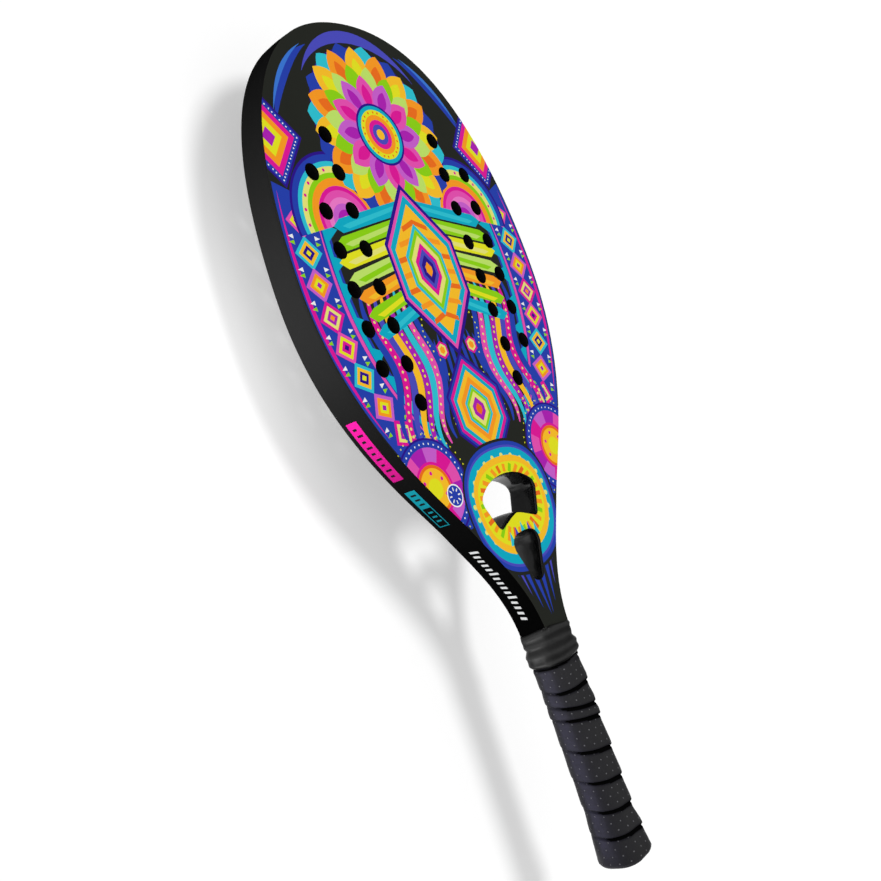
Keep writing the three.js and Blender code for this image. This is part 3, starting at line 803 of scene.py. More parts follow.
@dataclass
class Artwork:
    """The print of the face: flat shapes, each laid over the ones before it, mirrored left and right."""

    body: BodyShape
    shapes: list[tuple[Loop, Ink]] = field(default_factory=list)

    def lay(self, loop: Loop, ink: Ink, both: bool = True) -> None:
        """Lays a shape, and its mirror image where it is wanted on both sides.

        Args:
            loop: the closed shape.
            ink: its ink.
            both: whether it is laid on both sides.
        """
        self.shapes.append((loop, ink))
        if both:
            self.shapes.append(([(-x, y) for x, y in reversed(loop)], ink))

    def stroke(self, line: Loop, width: Callable[[float], float], ink: Ink, both: bool = True) -> None:
        """Lays a line of changing width.

        Args:
            line: the points along its middle.
            width: the width at a share of its length.
            ink: its ink.
            both: whether it is laid on both sides.
        """
        left, right, last = [], [], len(line) - 1
        for at, here in enumerate(line):
            along = (Vector(line[min(at + 1, last)]) - Vector(line[max(at - 1, 0)])).normalized()
            half = width(at / last) / 2
            left.append(beside(here, along, 0, half))
            right.append(beside(here, along, 0, -half))
        self.lay([*left, *reversed(right)], ink, both)

    def nest(self, make: Callable[[float], Loop], bands: Sequence[tuple[float, Ink]], both: bool = True) -> None:
        """Lays a shape again and again inside itself.

        Args:
            make: gives the shape at a size.
            bands: sizes from the largest, each with its ink.
            both: whether it is laid on both sides.
        """
        for size, ink in bands:
            self.lay(make(size), ink, both)

    def dots(self, line: Loop, gap: float, radius: float, ink: Ink, both: bool = True) -> None:
        """Lays a row of dots.

        Args:
            line: the points that the row follows.
            gap: the distance from dot to dot.
            radius: the radius of a dot.
            ink: its ink.
            both: whether the row is laid on both sides.
        """
        lengths = lengths_along(line)
        for number in range(int(lengths[-1] // gap) + 1):
            self.lay(circle(line[index_at(lengths, number * gap - 1e-6)], radius, 8), ink, both)

    def petal(self, foot: Point, angle: float, length: float, width: float, ink: Ink) -> None:
        """Lays a pointed petal.

        Args:
            foot: where it starts.
            angle: the way it points.
            length: its length.
            width: its width.
            ink: its ink.
        """
        half, turn = width / 2, Matrix.Rotation(angle, 2)
        side = bezier(((0, 0), (length * 0.3, half * 1.25), (length * 0.72, half * 1.15), (length, 0)), 12)
        flat = [*side, *[(x, -y) for x, y in reversed(side[1:-1])]]
        self.lay([tuple(turn @ Vector(p) + Vector(foot)) for p in flat], ink, both=False)

    def compose(self) -> list[tuple[Loop, Ink]]:
        """Draws the whole face.

        Returns:
            The shapes in the order in which they are laid.
        """
        for motif in (self.edge_lines, self.side_panels, self.arches, self.dahlia, self.corner_diamonds,
                      self.ribbons, self.chevrons, self.middle_column, self.wheels, self.throat_bands):
            motif()
        return self.shapes

    def edge_lines(self) -> None:
        """Lays blades that follow the rim high on both sides, and a bow over the flower between them."""
        outline, count = self.body.outline(), self.body.steps
        for inset, ink, low, high, width in (
                (9.4, Ink.ROYAL, 0.17, 0.52, 6.6), (7.4, Ink.SKY, 0.19, 0.48, 2.6)):
            part = moved_out(outline, -inset)[int(count * low):int(count * high)]
            self.stroke(part, leaf(width, 0.01), ink)
        bow = [polar((0, 432), math.radians(36 + 108 * step / 60), 59.5) for step in range(61)]
        self.stroke(bow, leaf(7.4, 0.01), Ink.INDIGO, both=False)

    def side_panels(self) -> None:
        """Lays the blue panels down both sides, with a toothed inner edge and a row of lozenges."""
        outline, half = self.body.outline(), len(self.body.half())

        def along(inset: float, low: float, high: float) -> Loop:
            """Gives the rim moved inward between two heights."""
            return [p for p in moved_out(outline, -inset)[:half] if low < p[1] < high]

        line = along(34, 252, 390)
        self.lay([*along(0.9, 205, 404), (40, 206), *reversed(line)], Ink.ROYAL)
        teeth = []
        for at, (x, y) in enumerate(line[::5]):
            teeth += [(x + 2.0, y), (x - 6.2, y - 2.8)][:1 + at % 2]
        self.lay([*teeth, *reversed(along(29, 256, 386))], Ink.TEAL)
        self.stroke(along(27.2, 252, 388), leaf(2.4), Ink.PINK)
        self.stroke(along(3.4, 262, 398), leaf(2.6), Ink.MAGENTA)
        row, apart = along(14.6, 250, 392), 17.4
        lengths = lengths_along(row)
        inks = ((Ink.PINK, Ink.YELLOW, Ink.MAGENTA, Ink.NIGHT), (Ink.CYAN, Ink.AMBER, Ink.NIGHT, Ink.YELLOW),
                (Ink.ORCHID, Ink.ORANGE, Ink.YELLOW, Ink.PURPLE), (Ink.MAGENTA, Ink.STRAW, Ink.PURPLE, Ink.ORANGE))
        for number in range(int(lengths[-1] // apart)):
            at = index_at(lengths, (number + 0.5) * apart)
            way = (Vector(row[min(at + 2, len(row) - 1)]) - Vector(row[at - 2])).normalized()
            for size, ink in zip((1.0, 0.72, 0.45, 0.2), inks[number % len(inks)]):
                corners = ((9.3, 0), (0, 9.6), (-9.3, 0), (0, -9.6))
                self.lay([beside(row[at], way, a * size, b * size) for a, b in corners], ink)
            for side in (-1, 1):
                for ahead, ink in ((8.7, Ink.WHITE), (11.9, Ink.LIME)):
                    corners = ((-1.3, 7.4), (0, 11.0), (1.3, 7.4))
                    self.lay([beside(row[at], way, ahead + a, b * side) for a, b in corners], ink)

    def arches(self) -> None:
        """Lays the nested arches below the flower on both sides, leaning outward."""
        lean = Matrix.Rotation(math.radians(-10), 2)

        def leaning(radius: float, angle: float) -> Point:
            """Gives a place on an arch."""
            return tuple(lean @ Vector(polar((0, 0), angle, radius)) + Vector((54.0, 380.0)))

        self.nest(lambda radius: [leaning(radius, math.pi * step / 40) for step in range(41)], (
            (40, Ink.NIGHT), (38.4, Ink.ROYAL), (34.5, Ink.CYAN), (31.6, Ink.STRAW), (28, Ink.LIME),
            (25, Ink.ORANGE), (20.5, Ink.MAGENTA), (18, Ink.PINK), (14, Ink.BLUSH), (10.5, Ink.ORCHID),
            (7, Ink.PURPLE), (3.4, Ink.AMBER)))
        for angle in angles(11, 0.5, math.pi):
            self.lay(circle(leaning(29.8, angle), 1.0, 10), Ink.MAGENTA)

    def dahlia(self) -> None:
        """Lays the large flower at the top of the middle line, ring by ring from the outside."""
        middle = (0.0, 432.0)
        self.lay(circle(middle, 53, 72), Ink.NIGHT, both=False)
        for count, shift, inner, outer, width, inks in (
                (16, 0.5, 38.0, 56.0, 20.0, (Ink.ROYAL, Ink.CYAN)),
                (16, 0.0, 28.0, 54.0, 19.5, (Ink.AMBER, Ink.ORANGE)),
                (16, 0.0, 30.0, 47.0, 9.5, (Ink.YELLOW, Ink.RUST)),
                (16, 0.5, 22.0, 43.0, 14.5, (Ink.LIME, Ink.PISTACHIO)),
                (12, 0.0, 12.0, 36.5, 17.0, (Ink.PINK, Ink.ORCHID)),
                (12, 0.0, 16.0, 31.0, 8.0, (Ink.MAGENTA, Ink.PURPLE))):
            for number, turn in enumerate(angles(count, shift)):
                angle = turn + math.pi / 2
                self.petal(polar(middle, angle, inner), angle, outer - inner, width, inks[number % 2])
        self.nest(lambda size: circle(middle, size), (
            (19.0, Ink.NIGHT), (17.6, Ink.TEAL), (15.2, Ink.YELLOW), (12.0, Ink.ORANGE), (9.0, Ink.MAGENTA),
            (6.2, Ink.INDIGO), (3.2, Ink.AMBER)), both=False)
        self.dots(circle(middle, 13.6, 72), 4.27, 0.75, Ink.RUST, both=False)

    def corner_diamonds(self) -> None:
        """Lays a diamond that the rim cuts off, high on both sides, with a row of dots along its sides."""
        def diamond(size: float) -> Loop:
            """Gives a diamond of a half height."""
            return [polar((91, 427), angle, size * 0.85, size) for angle in angles(4)]

        self.nest(diamond, ((28, Ink.NIGHT), (26, Ink.ROYAL), (21.5, Ink.MAGENTA), (16.5, Ink.ORANGE),
                            (11, Ink.YELLOW), (5.5, Ink.PURPLE)))
        corners = diamond(23.8)
        for here, there in zip(corners, corners[1:] + corners[:1]):
            side = [tuple(Vector(here).lerp(Vector(there), step / 40)) for step in range(41)]
            self.dots(side, 2.6, 0.5, Ink.WHITE)

    def ribbons(self) -> None:
        """Lays wavy ribbons side by side below the chevrons."""
        def wave(share: float) -> float:
            """Gives how far a ribbon sways to the side."""
            return 5.8 * math.sin(FULL_TURN * share * 1.3 + 0.5)

        shares = [step / 60 for step in range(61)]
        inks = (Ink.ROYAL, Ink.PINK, Ink.CYAN, Ink.PURPLE, Ink.AMBER, Ink.INDIGO, Ink.MAGENTA, Ink.ROYAL)
        for number, ink in enumerate(inks):
            line = [((25.0 + number * 5.6) * (1 - 0.02 * share) + wave(share) * (0.55 + 0.45 * share),
                     340 - (92 - 2.0 * abs(number - 3)) * share) for share in shares]
            self.stroke(line, lambda share: 5.5 * math.sin(math.pi * clamp(share * 0.97 + 0.02)) ** 0.5, ink)
            if number in (1, 3, 6):
                self.dots(line[4:-4], 4.4, 0.85, Ink.YELLOW if number == 3 else Ink.STRAW)
        self.dots([(20.5 + wave(share) * 0.8, 322 - 66 * share) for share in shares], 3.2, 0.6, Ink.YELLOW)

    def chevrons(self) -> None:
        """Lays chevrons that fall away from the middle column, each with a lighter core."""
        inks = (Ink.TEAL, Ink.LIME, Ink.YELLOW, Ink.PISTACHIO, Ink.ORANGE, Ink.LIME, Ink.TEAL)
        cores = (Ink.CYAN, Ink.PISTACHIO, Ink.STRAW, Ink.LIME, Ink.AMBER, Ink.YELLOW, Ink.CYAN)
        for number, (ink, core) in enumerate(zip(inks, cores)):
            top = 392.0 - number * 9.1
            reach, low = 66.0 - 2.6 * abs(number - 2), top - 10.0 - number * 0.9
            self.lay([(6.0, top), (reach, low), (reach + 6, low - 4.2), (reach, low - 8.1), (6.0, top - 8.1)], ink)
            self.lay([(12.0, top - 3.4), (reach - 6, low - 2.6), (reach - 1, low - 4.2), (reach - 6, low - 5.6),
                      (12.0, top - 5.9)], core)

    def middle_column(self) -> None:
        """Lays the nested lozenges down the middle, a large one over a small one."""
        for number in (*range(-4, 0), *range(1, 5)):
            near = abs(number) * 3.0
            self.petal((number * 4.6, 322.0 - near), number * 0.05 - math.pi / 2, 38.0 - near, 3.6, Ink.ROYAL)
        large, small = lozenge(350.0, 27.5, 46.0), lozenge(266.0, 22.0, 30.0)
        self.nest(large, ((1.13, Ink.NIGHT), (1.05, Ink.PINK), (0.98, Ink.TEAL), (0.86, Ink.AMBER)), both=False)
        for number in range(-3, 4):
            y = 350.0 + number * 9.2
            half = 23.6 * (1 - max(abs(y - 350) - 12, 0) / 30)
            self.lay([(0, y + 2.6), (half, y - 1.6), (half, y - 4.6), (0, y - 0.6)],
                     Ink.RUST if number % 2 else Ink.ORANGE)
        self.nest(large, ((0.6, Ink.CYAN), (0.53, Ink.LIME), (0.45, Ink.STRAW), (0.35, Ink.MAGENTA),
                          (0.27, Ink.INDIGO), (0.19, Ink.NIGHT), (0.1, Ink.ORANGE)), both=False)
        self.nest(small, ((1.15, Ink.NIGHT), (1.08, Ink.ROYAL), (1.0, Ink.MAGENTA), (0.9, Ink.TEAL),
                          (0.78, Ink.AMBER), (0.64, Ink.ORANGE), (0.5, Ink.CYAN), (0.43, Ink.LIME),
                          (0.35, Ink.STRAW), (0.24, Ink.PURPLE), (0.12, Ink.RUST)), both=False)
        for side in (-1, 1):
            self.nest(lambda radius: [polar((side * 14.0, 303.0), angle, radius) for angle in angles(6, 0.5)],
                      ((5.4, Ink.MAGENTA), (3.9, Ink.STRAW), (2.4, Ink.ORANGE)), both=False)

    def wheels(self) -> None:
        """Lays a wheel of wedges low on both sides, inside a ring of dots, and a small ring with ticks."""
        middle, stamp = (60.0, 232.0), (-47.0, 225.2)
        self.dots(circle(middle, 29.6, 120), 186 / 46, 0.5, Ink.YELLOW)
        self.nest(lambda size: circle(middle, size), ((27.6, Ink.NIGHT), (26.4, Ink.ROYAL)))
        self.dots(circle(middle, 24.4, 120), 3.65, 0.55, Ink.WHITE)
        inks = (Ink.MAGENTA, Ink.PINK, Ink.PURPLE, Ink.ORCHID)
        for number in range(12):
            rim = [polar(middle, FULL_TURN * (number + step / 5) / 12, 22.4) for step in range(6)]
            self.lay([middle, *rim], inks[number % len(inks)])
        self.nest(lambda size: circle(middle, size), (
            (14.6, Ink.MAGENTA), (13.0, Ink.RUST), (11.2, Ink.AMBER), (5.6, Ink.YELLOW)))
        for angle in angles(6, 0.5):
            self.lay(circle(polar(middle, angle, 8.4), 1.1, 10), Ink.MAGENTA)
        # The small ring with ticks sits low on the left, between the wheel and the throat.
        self.nest(lambda size: circle(stamp, size, 40), ((6.4, Ink.WHITE), (5.6, Ink.ROYAL)), both=False)
        for angle in angles(8):
            self.stroke([polar(stamp, angle, r) for r in (2.6, 4.6)], lambda share: 0.8, Ink.WHITE, both=False)

    def throat_bands(self) -> None:
        """Lays long blue spikes into the neck, and bands round both windows over them."""
        for number, (x, top, foot, lean, width) in enumerate((
                (4.6, 178.0, 144.0, -3.6, 5.6), (13.6, 190.0, 149.0, -7.2, 6.6), (22.0, 200.0, 158.0, -10.0, 6.4),
                (30.0, 210.0, 170.0, -12.4, 6.2), (37.5, 216.0, 184.0, -13.2, 5.6))):
            self.lay([(x - width / 2, top), (x + width / 2, top), (x + lean, foot)],
                     Ink.INDIGO if number == 2 else Ink.ROYAL)

        def band(size: float) -> Loop:
            """Gives a rounded band at a distance from the large window."""
            loop = []
            for angle in angles(96):
                c, s = (math.copysign(abs(wave) ** 0.86, wave) for wave in (math.cos(angle), math.sin(angle)))
                loop.append(((26.5 + size) * c, 212 + (17.5 + size * 1.15) * (1.0 if s > 0 else 1.22) * s))
            return loop

        def off(angle: float, wide: float, above: float, below: float) -> Point:
            """Gives a place round the large window."""
            return polar((0, 212), angle, wide, above if math.sin(angle) > 0 else below)

        self.nest(band, ((15.2, Ink.GROUND), (13.8, Ink.ROYAL), (11.8, Ink.INDIGO), (10.6, Ink.TEAL)), both=False)
        for angle in angles(24, 0.5):
            self.lay(circle(off(angle, 34.5, 25.5, 30.0), 1.5, 12), Ink.STRAW, both=False)
        self.nest(band, ((6.6, Ink.AMBER), (3.4, Ink.YELLOW)), both=False)
        for number, angle in enumerate(angles(28, 0.5)):
            self.stroke([off(angle, 20.0, 16.0, 16.0), off(angle, 29.0, 20.5, 24.5)], lambda share: 2.6,
                        (Ink.ORANGE, Ink.LIME, Ink.ORANGE, Ink.RUST)[number % 4], both=False)
        for number in range(5):
            x, y = 6.2 * number - 12.4, 196.0 - 1.6 * abs(number - 2)
            self.lay([(x - 2.6, y - 5), (x, y + 3), (x + 2.6, y - 5)],
                     Ink.INDIGO if number % 2 else Ink.CYAN, both=False)


# The pieces


@dataclass
class PrintedFace:
    """The front laminate, with its print as one flat mesh of many inks."""

    body: BodyShape
    top: float = FRONT
    thickness: float = FACE_THICKNESS

    def build(self, paint: Material) -> None:
        """Builds and dresses the laminate.

        Args:
            paint: the paint of its cut edges.
        """
        shapes, inks = Artwork(self.body).compose(), list(Ink)

        def choose(owners: list[int]) -> int | None:
            """Gives the ink of the topmost shape, and nothing in a hole or off the face."""
            if not owners or owners[0] != 0 or owners[-1] > len(shapes):
                return None
            return inks.index(shapes[owners[-1] - 1][1]) if owners[-1] > 0 else 0

        loops = [self.body.outline(), *[shape for shape, _ in shapes], *self.body.holes(),
                 LARGE_WINDOW.outline(), SMALL_WINDOW.outline()]
        materials = [PrintedInk(f"screen_ink_{ink.name.lower()}", ink.value).build() for ink in inks]
        heights = (self.top - self.thickness, self.top)
        piece = flat_plate("printed_face", loops, heights, [*materials, paint], choose, len(materials))
        settle(piece, "printed_laminate", "front_face")


@dataclass
class MouldedShell:
    """The lacquered tube round the head and down the neck, with the rim that frames the back."""

    body: BodyShape
    back_round: float = 3.3
    throat_round: float = 1.2
    eased_from: float = 285.0
    eased_over: float = 90.0
    rim: float = 5.0
    rim_edge: Point = (0.25, 0.2)
    front_edge: tuple[Point, ...] = ((0.25, 0.0), (0.06, 0.1), (0.0, 0.35))
    glue_line: float = 0.02
    crown: float = 0.3

    def section(self, y: float) -> Loop:
        """Gives the wall's section as pairs of inset and height.

        Args:
            y: the height above the butt, since the back edge is rounder round the head.

        Returns:
            The pairs, from the front edge round the outside to the inside.
        """
        corner = self.throat_round + (self.back_round - self.throat_round) * eased(
            (y - self.eased_from) / self.eased_over)
        top, low, rim = FRONT - FACE_THICKNESS - self.glue_line, corner - FRONT, self.rim
        pairs = [(inset, top - drop) for inset, drop in self.front_edge]
        high = pairs[-1][1]
        for share in (step / 9 for step in range(1, 9)):
            pairs.append((-self.crown * math.sin(math.pi * share), high + (low - high) * share))
        for angle in (math.pi / 16 * step for step in range(9)):
            pairs.append((corner * (1 - math.cos(angle)), low - corner * math.sin(angle)))
        return [*pairs, (rim - self.rim_edge[0], -FRONT), (rim, self.rim_edge[1] - FRONT),
                (rim, FACE_THICKNESS - FRONT), (rim, top)]

    def build(self, paint: Material) -> None:
        """Builds and dresses the wall.

        Args:
            paint: its paint.
        """
        outline = self.body.outline()
        inward = [Vector(b) - Vector(a) for a, b in zip(outline, moved_out(outline, -1.0))]
        strips = [[Vector((*(Vector(spot) + way * inset), height)) for inset, height in self.section(spot[1])]
                  for spot, way in zip(outline, inward)]
        work = MeshWork()
        work.loft(list(zip(*strips)))
        settle(work.finish("moulded_shell", [paint], smooth_below=50), "carbon_laminate", "frame_tube")


@dataclass
class SideMarks:
    """Flat labels on the side wall: plain bars, blocks and ticks."""

    body: BodyShape
    lift: float = 0.42
    film: float = 0.06
    over: float = 0.09
    longest: float = 2.5
    black: int = 3

    def on_wall(self, along: float, height: float, lift: float) -> Vector:
        """Places a point of a label on the left wall.

        Args:
            along: the length from the tip along the wall.
            height: its height above the mid-plane.
            lift: how far it stands out of the wall.

        Returns:
            Its place.
        """
        half = self.body.half()
        lengths = lengths_along(half)
        at = max(index_at(lengths, along), 1)
        share = (along - lengths[at - 1]) / (lengths[at] - lengths[at - 1])
        here, there = Vector(half[at - 1]), Vector(half[at])
        x, y = beside(here.lerp(there, share), (there - here).normalized(), 0, lift)
        return Vector((-x, y, height))

    def patch(self, work: MeshWork, low: Point, high: Point, slot: int, slant: float = 0.0) -> None:
        """Adds a bar to the work.

        Args:
            work: the mesh work.
            low: where the bar starts, along the wall and in height.
            high: where it ends.
            slot: its material slot.
            slant: how far its top leans along the wall.
        """
        # Black ticks are printed over the coloured bars, so they stand out a little further.
        over = Vector((self.over if slot == self.black else 0.0, 0.0, 0.0))
        count, under = max(int((high[0] - low[0]) / self.longest), 1), self.lift - self.film
        corners = (
            (0, low[1], self.lift), (slant, high[1], self.lift), (slant, high[1], under), (0, low[1], under))
        work.loft([
            [self.on_wall(low[0] + (high[0] - low[0]) * step / count + lean, height, lift) - over
             for lean, height, lift in corners] for step in range(count + 1)], slot, caps=True)

    def build(self) -> None:
        """Builds and dresses the labels."""
        work = MeshWork()
        for low, high, slot in (
                ((281.6, -5.5), (321.9, 2.0), 0), ((330.6, -5.3), (344.6, 1.8), 1),
                ((344.6, -5.3), (360.2, -4.7), 1), ((344.6, 1.2), (360.2, 1.8), 1),
                ((359.6, -4.7), (360.2, 1.2), 1)):
            self.patch(work, low, high, slot)
        for number in range(9):
            start = 285.3 + number * 4.0
            self.patch(work, (start, -3.6), (start + 1.3, 0.2 if number % 2 else -1.1), self.black)
        for along in (0.0, 3.6, 7.2):
            self.patch(work, (333.4 + along, -3.5), (334.6 + along, 0.1), self.black)
            self.patch(work, (347.6 + along, -3.3), (348.8 + along, -0.1), 1)
        for number in range(15):
            start = 382.5 + number * 3.65
            self.patch(work, (start, -2.8), (start + 1.6, 1.2 if number % 5 else 2.8), 2, slant=0.9)
        # Transfers under matt lacquer: deep inks, as the low light falls straight on them.
        inks = {"magenta": "980f64", "cyan": "0a7785", "white": "d4d5d6", "black": "101011"}
        materials = [PrintedInk(f"{name}_transfer", colour, roughness=0.5, level=0.05).build()
                     for name, colour in inks.items()]
        settle(work.finish("side_labels", materials, smooth_below=30), "printed_laminate")


@dataclass
class BackPanel:
    """The back laminate, let in flush with the rim, bare twill under lacquer."""

    body: BodyShape
    inset: float = 5.15

    def build(self) -> None:
        """Builds and dresses the panel."""
        # 12K twill under clear lacquer: a check of dark and less dark tows, the lighter ones a painted sheen.
        weave = CarbonTwill("lacquered_carbon_twill", "101113", roughness=0.34).build()
        loops = [moved_out(self.body.outline(), -self.inset), *self.body.holes(),
                 LARGE_WINDOW.outline(), SMALL_WINDOW.outline()]
        piece = flat_plate("back_panel", loops, (-FRONT, FACE_THICKNESS - FRONT), [weave])
        settle(piece, "carbon_laminate", "back_face")


@dataclass
class FoamCore:
    """The foam slab between the faces, drilled through with the vent holes."""

    body: BodyShape
    heel_at: float = 240.0
    heel_radius: float = 191.0
    tube: float = 13.3

    def build(self) -> None:
        """Builds and dresses the slab."""
        # Black EVA, as dark in the holes as the real one, with a matt cut wall.
        foam = Foam("black_eva_foam", "1c1a1a", roughness=0.9, level=0.2).build()
        inside = FRONT - FACE_THICKNESS - 0.03
        loops = [self.body.core_pocket(self.heel_at, self.heel_radius, self.tube), *self.body.holes()]
        settle(flat_plate("foam_core", loops, (-inside, inside), [foam]), "eva_foam", "head_core")


@dataclass
class ThroatWindow:
    """The moulded wall round one opening of the throat, swelling inward between its two edges."""

    name: str
    shape: WindowShape
    node: str
    swell: float = 1.3
    wall: float = 1.6
    tuck: float = 0.05
    lip: float = 0.02
    rows: int = 22

    def build(self, gloss: Material) -> None:
        """Builds and dresses the wall.

        Args:
            gloss: its lacquer.
        """
        sections = []
        for share in (row / self.rows * 2 - 1 for row in range(self.rows + 1)):
            sections.append((self.tuck - self.swell * (1 - share * share) ** 0.5, -share * (FRONT + self.lip)))
        inside = FRONT - FACE_THICKNESS - self.tuck
        work = MeshWork()
        work.loft([[Vector((*spot, height)) for spot in moved_out(self.shape.outline(), outward)]
                   for outward, height in (*sections, (self.wall, -inside), (self.wall, inside))])
        settle(work.finish(self.name, [gloss], smooth_below=60), "carbon_laminate", self.node)


@dataclass
class HandleShape:
    """The handle's rounded section, swelling to the butt."""

    half_width: float = 12.5
    half_thickness: float = 12.2
    corner: float = 9.0
    flare: float = 2.1
    flange: float = 6.4
    end_round: float = 6.0
    cap_length: float = 28.0

    def grown(self, y: float) -> float:
        """Gives how far the section grows or draws in at a height.

        Args:
            y: the height above the butt.

        Returns:
            The growth.
        """
        swell = self.flare * clamp((self.cap_length - y) / (self.cap_length - self.flange))
        if y >= self.end_round:
            return swell
        return swell - self.end_round * (1 - math.sin(math.acos(clamp(1 - y / self.end_round))))

    def perimeter(self) -> float:
        """Gives the length round the plain section."""
        return 4 * (self.half_width + self.half_thickness - 2 * self.corner) + FULL_TURN * self.corner

    def point(self, turn: float, y: float, depth: float) -> Vector:
        """Gives a point of the section.

        Args:
            turn: the share of a turn from +X over the front.
            y: the height above the butt.
            depth: the depth below the outside of the winding.

        Returns:
            The point.
        """
        flats = (self.half_thickness - self.corner, self.half_width - self.corner)
        walk, side = turn % 1.0 * self.perimeter() + flats[0], 0
        while walk > 2 * flats[side % 2] + math.pi / 2 * self.corner:
            walk -= 2 * flats[side % 2] + math.pi / 2 * self.corner
            side += 1
        along, out = flats[side % 2], flats[(side + 1) % 2]
        corner = self.corner + self.grown(y) - depth
        bend = max(walk - 2 * along, 0.0) / self.corner
        out += corner * math.cos(bend)
        along = min(walk - along, along) + corner * math.sin(bend)
        # Each side looks out along the first way here and runs along the second.
        (x, z), (run_x, run_z) = (((1, 0), (0, 1), (-1, 0), (0, -1))[(side + more) % 4] for more in (0, 1))
        return Vector((x * out + run_x * along, y, z * out + run_z * along))

    def ring(self, y: float, depth: float, count: int, flat_at: float | None = None) -> Ring:
        """Gives a whole ring of the section.

        Args:
            y: the height above the butt.
            depth: the depth below the outside of the winding.
            count: how many points it has.
            flat_at: the height that it is moved to, if that is another one.

        Returns:
            Its points.
        """
        points = [self.point(step / count, y, depth) for step in range(count)]
        return points if flat_at is None else [Vector((p.x, flat_at, p.z)) for p in points]


def collar_lean(turn: float, raised: float = 0.1, slant: float = 1.5) -> float:
    """Gives how far the collar's lower edge stands above its plain height, as it was rolled on at a slant."""
    return raised - slant * math.cos(FULL_TURN * (turn - 0.5))


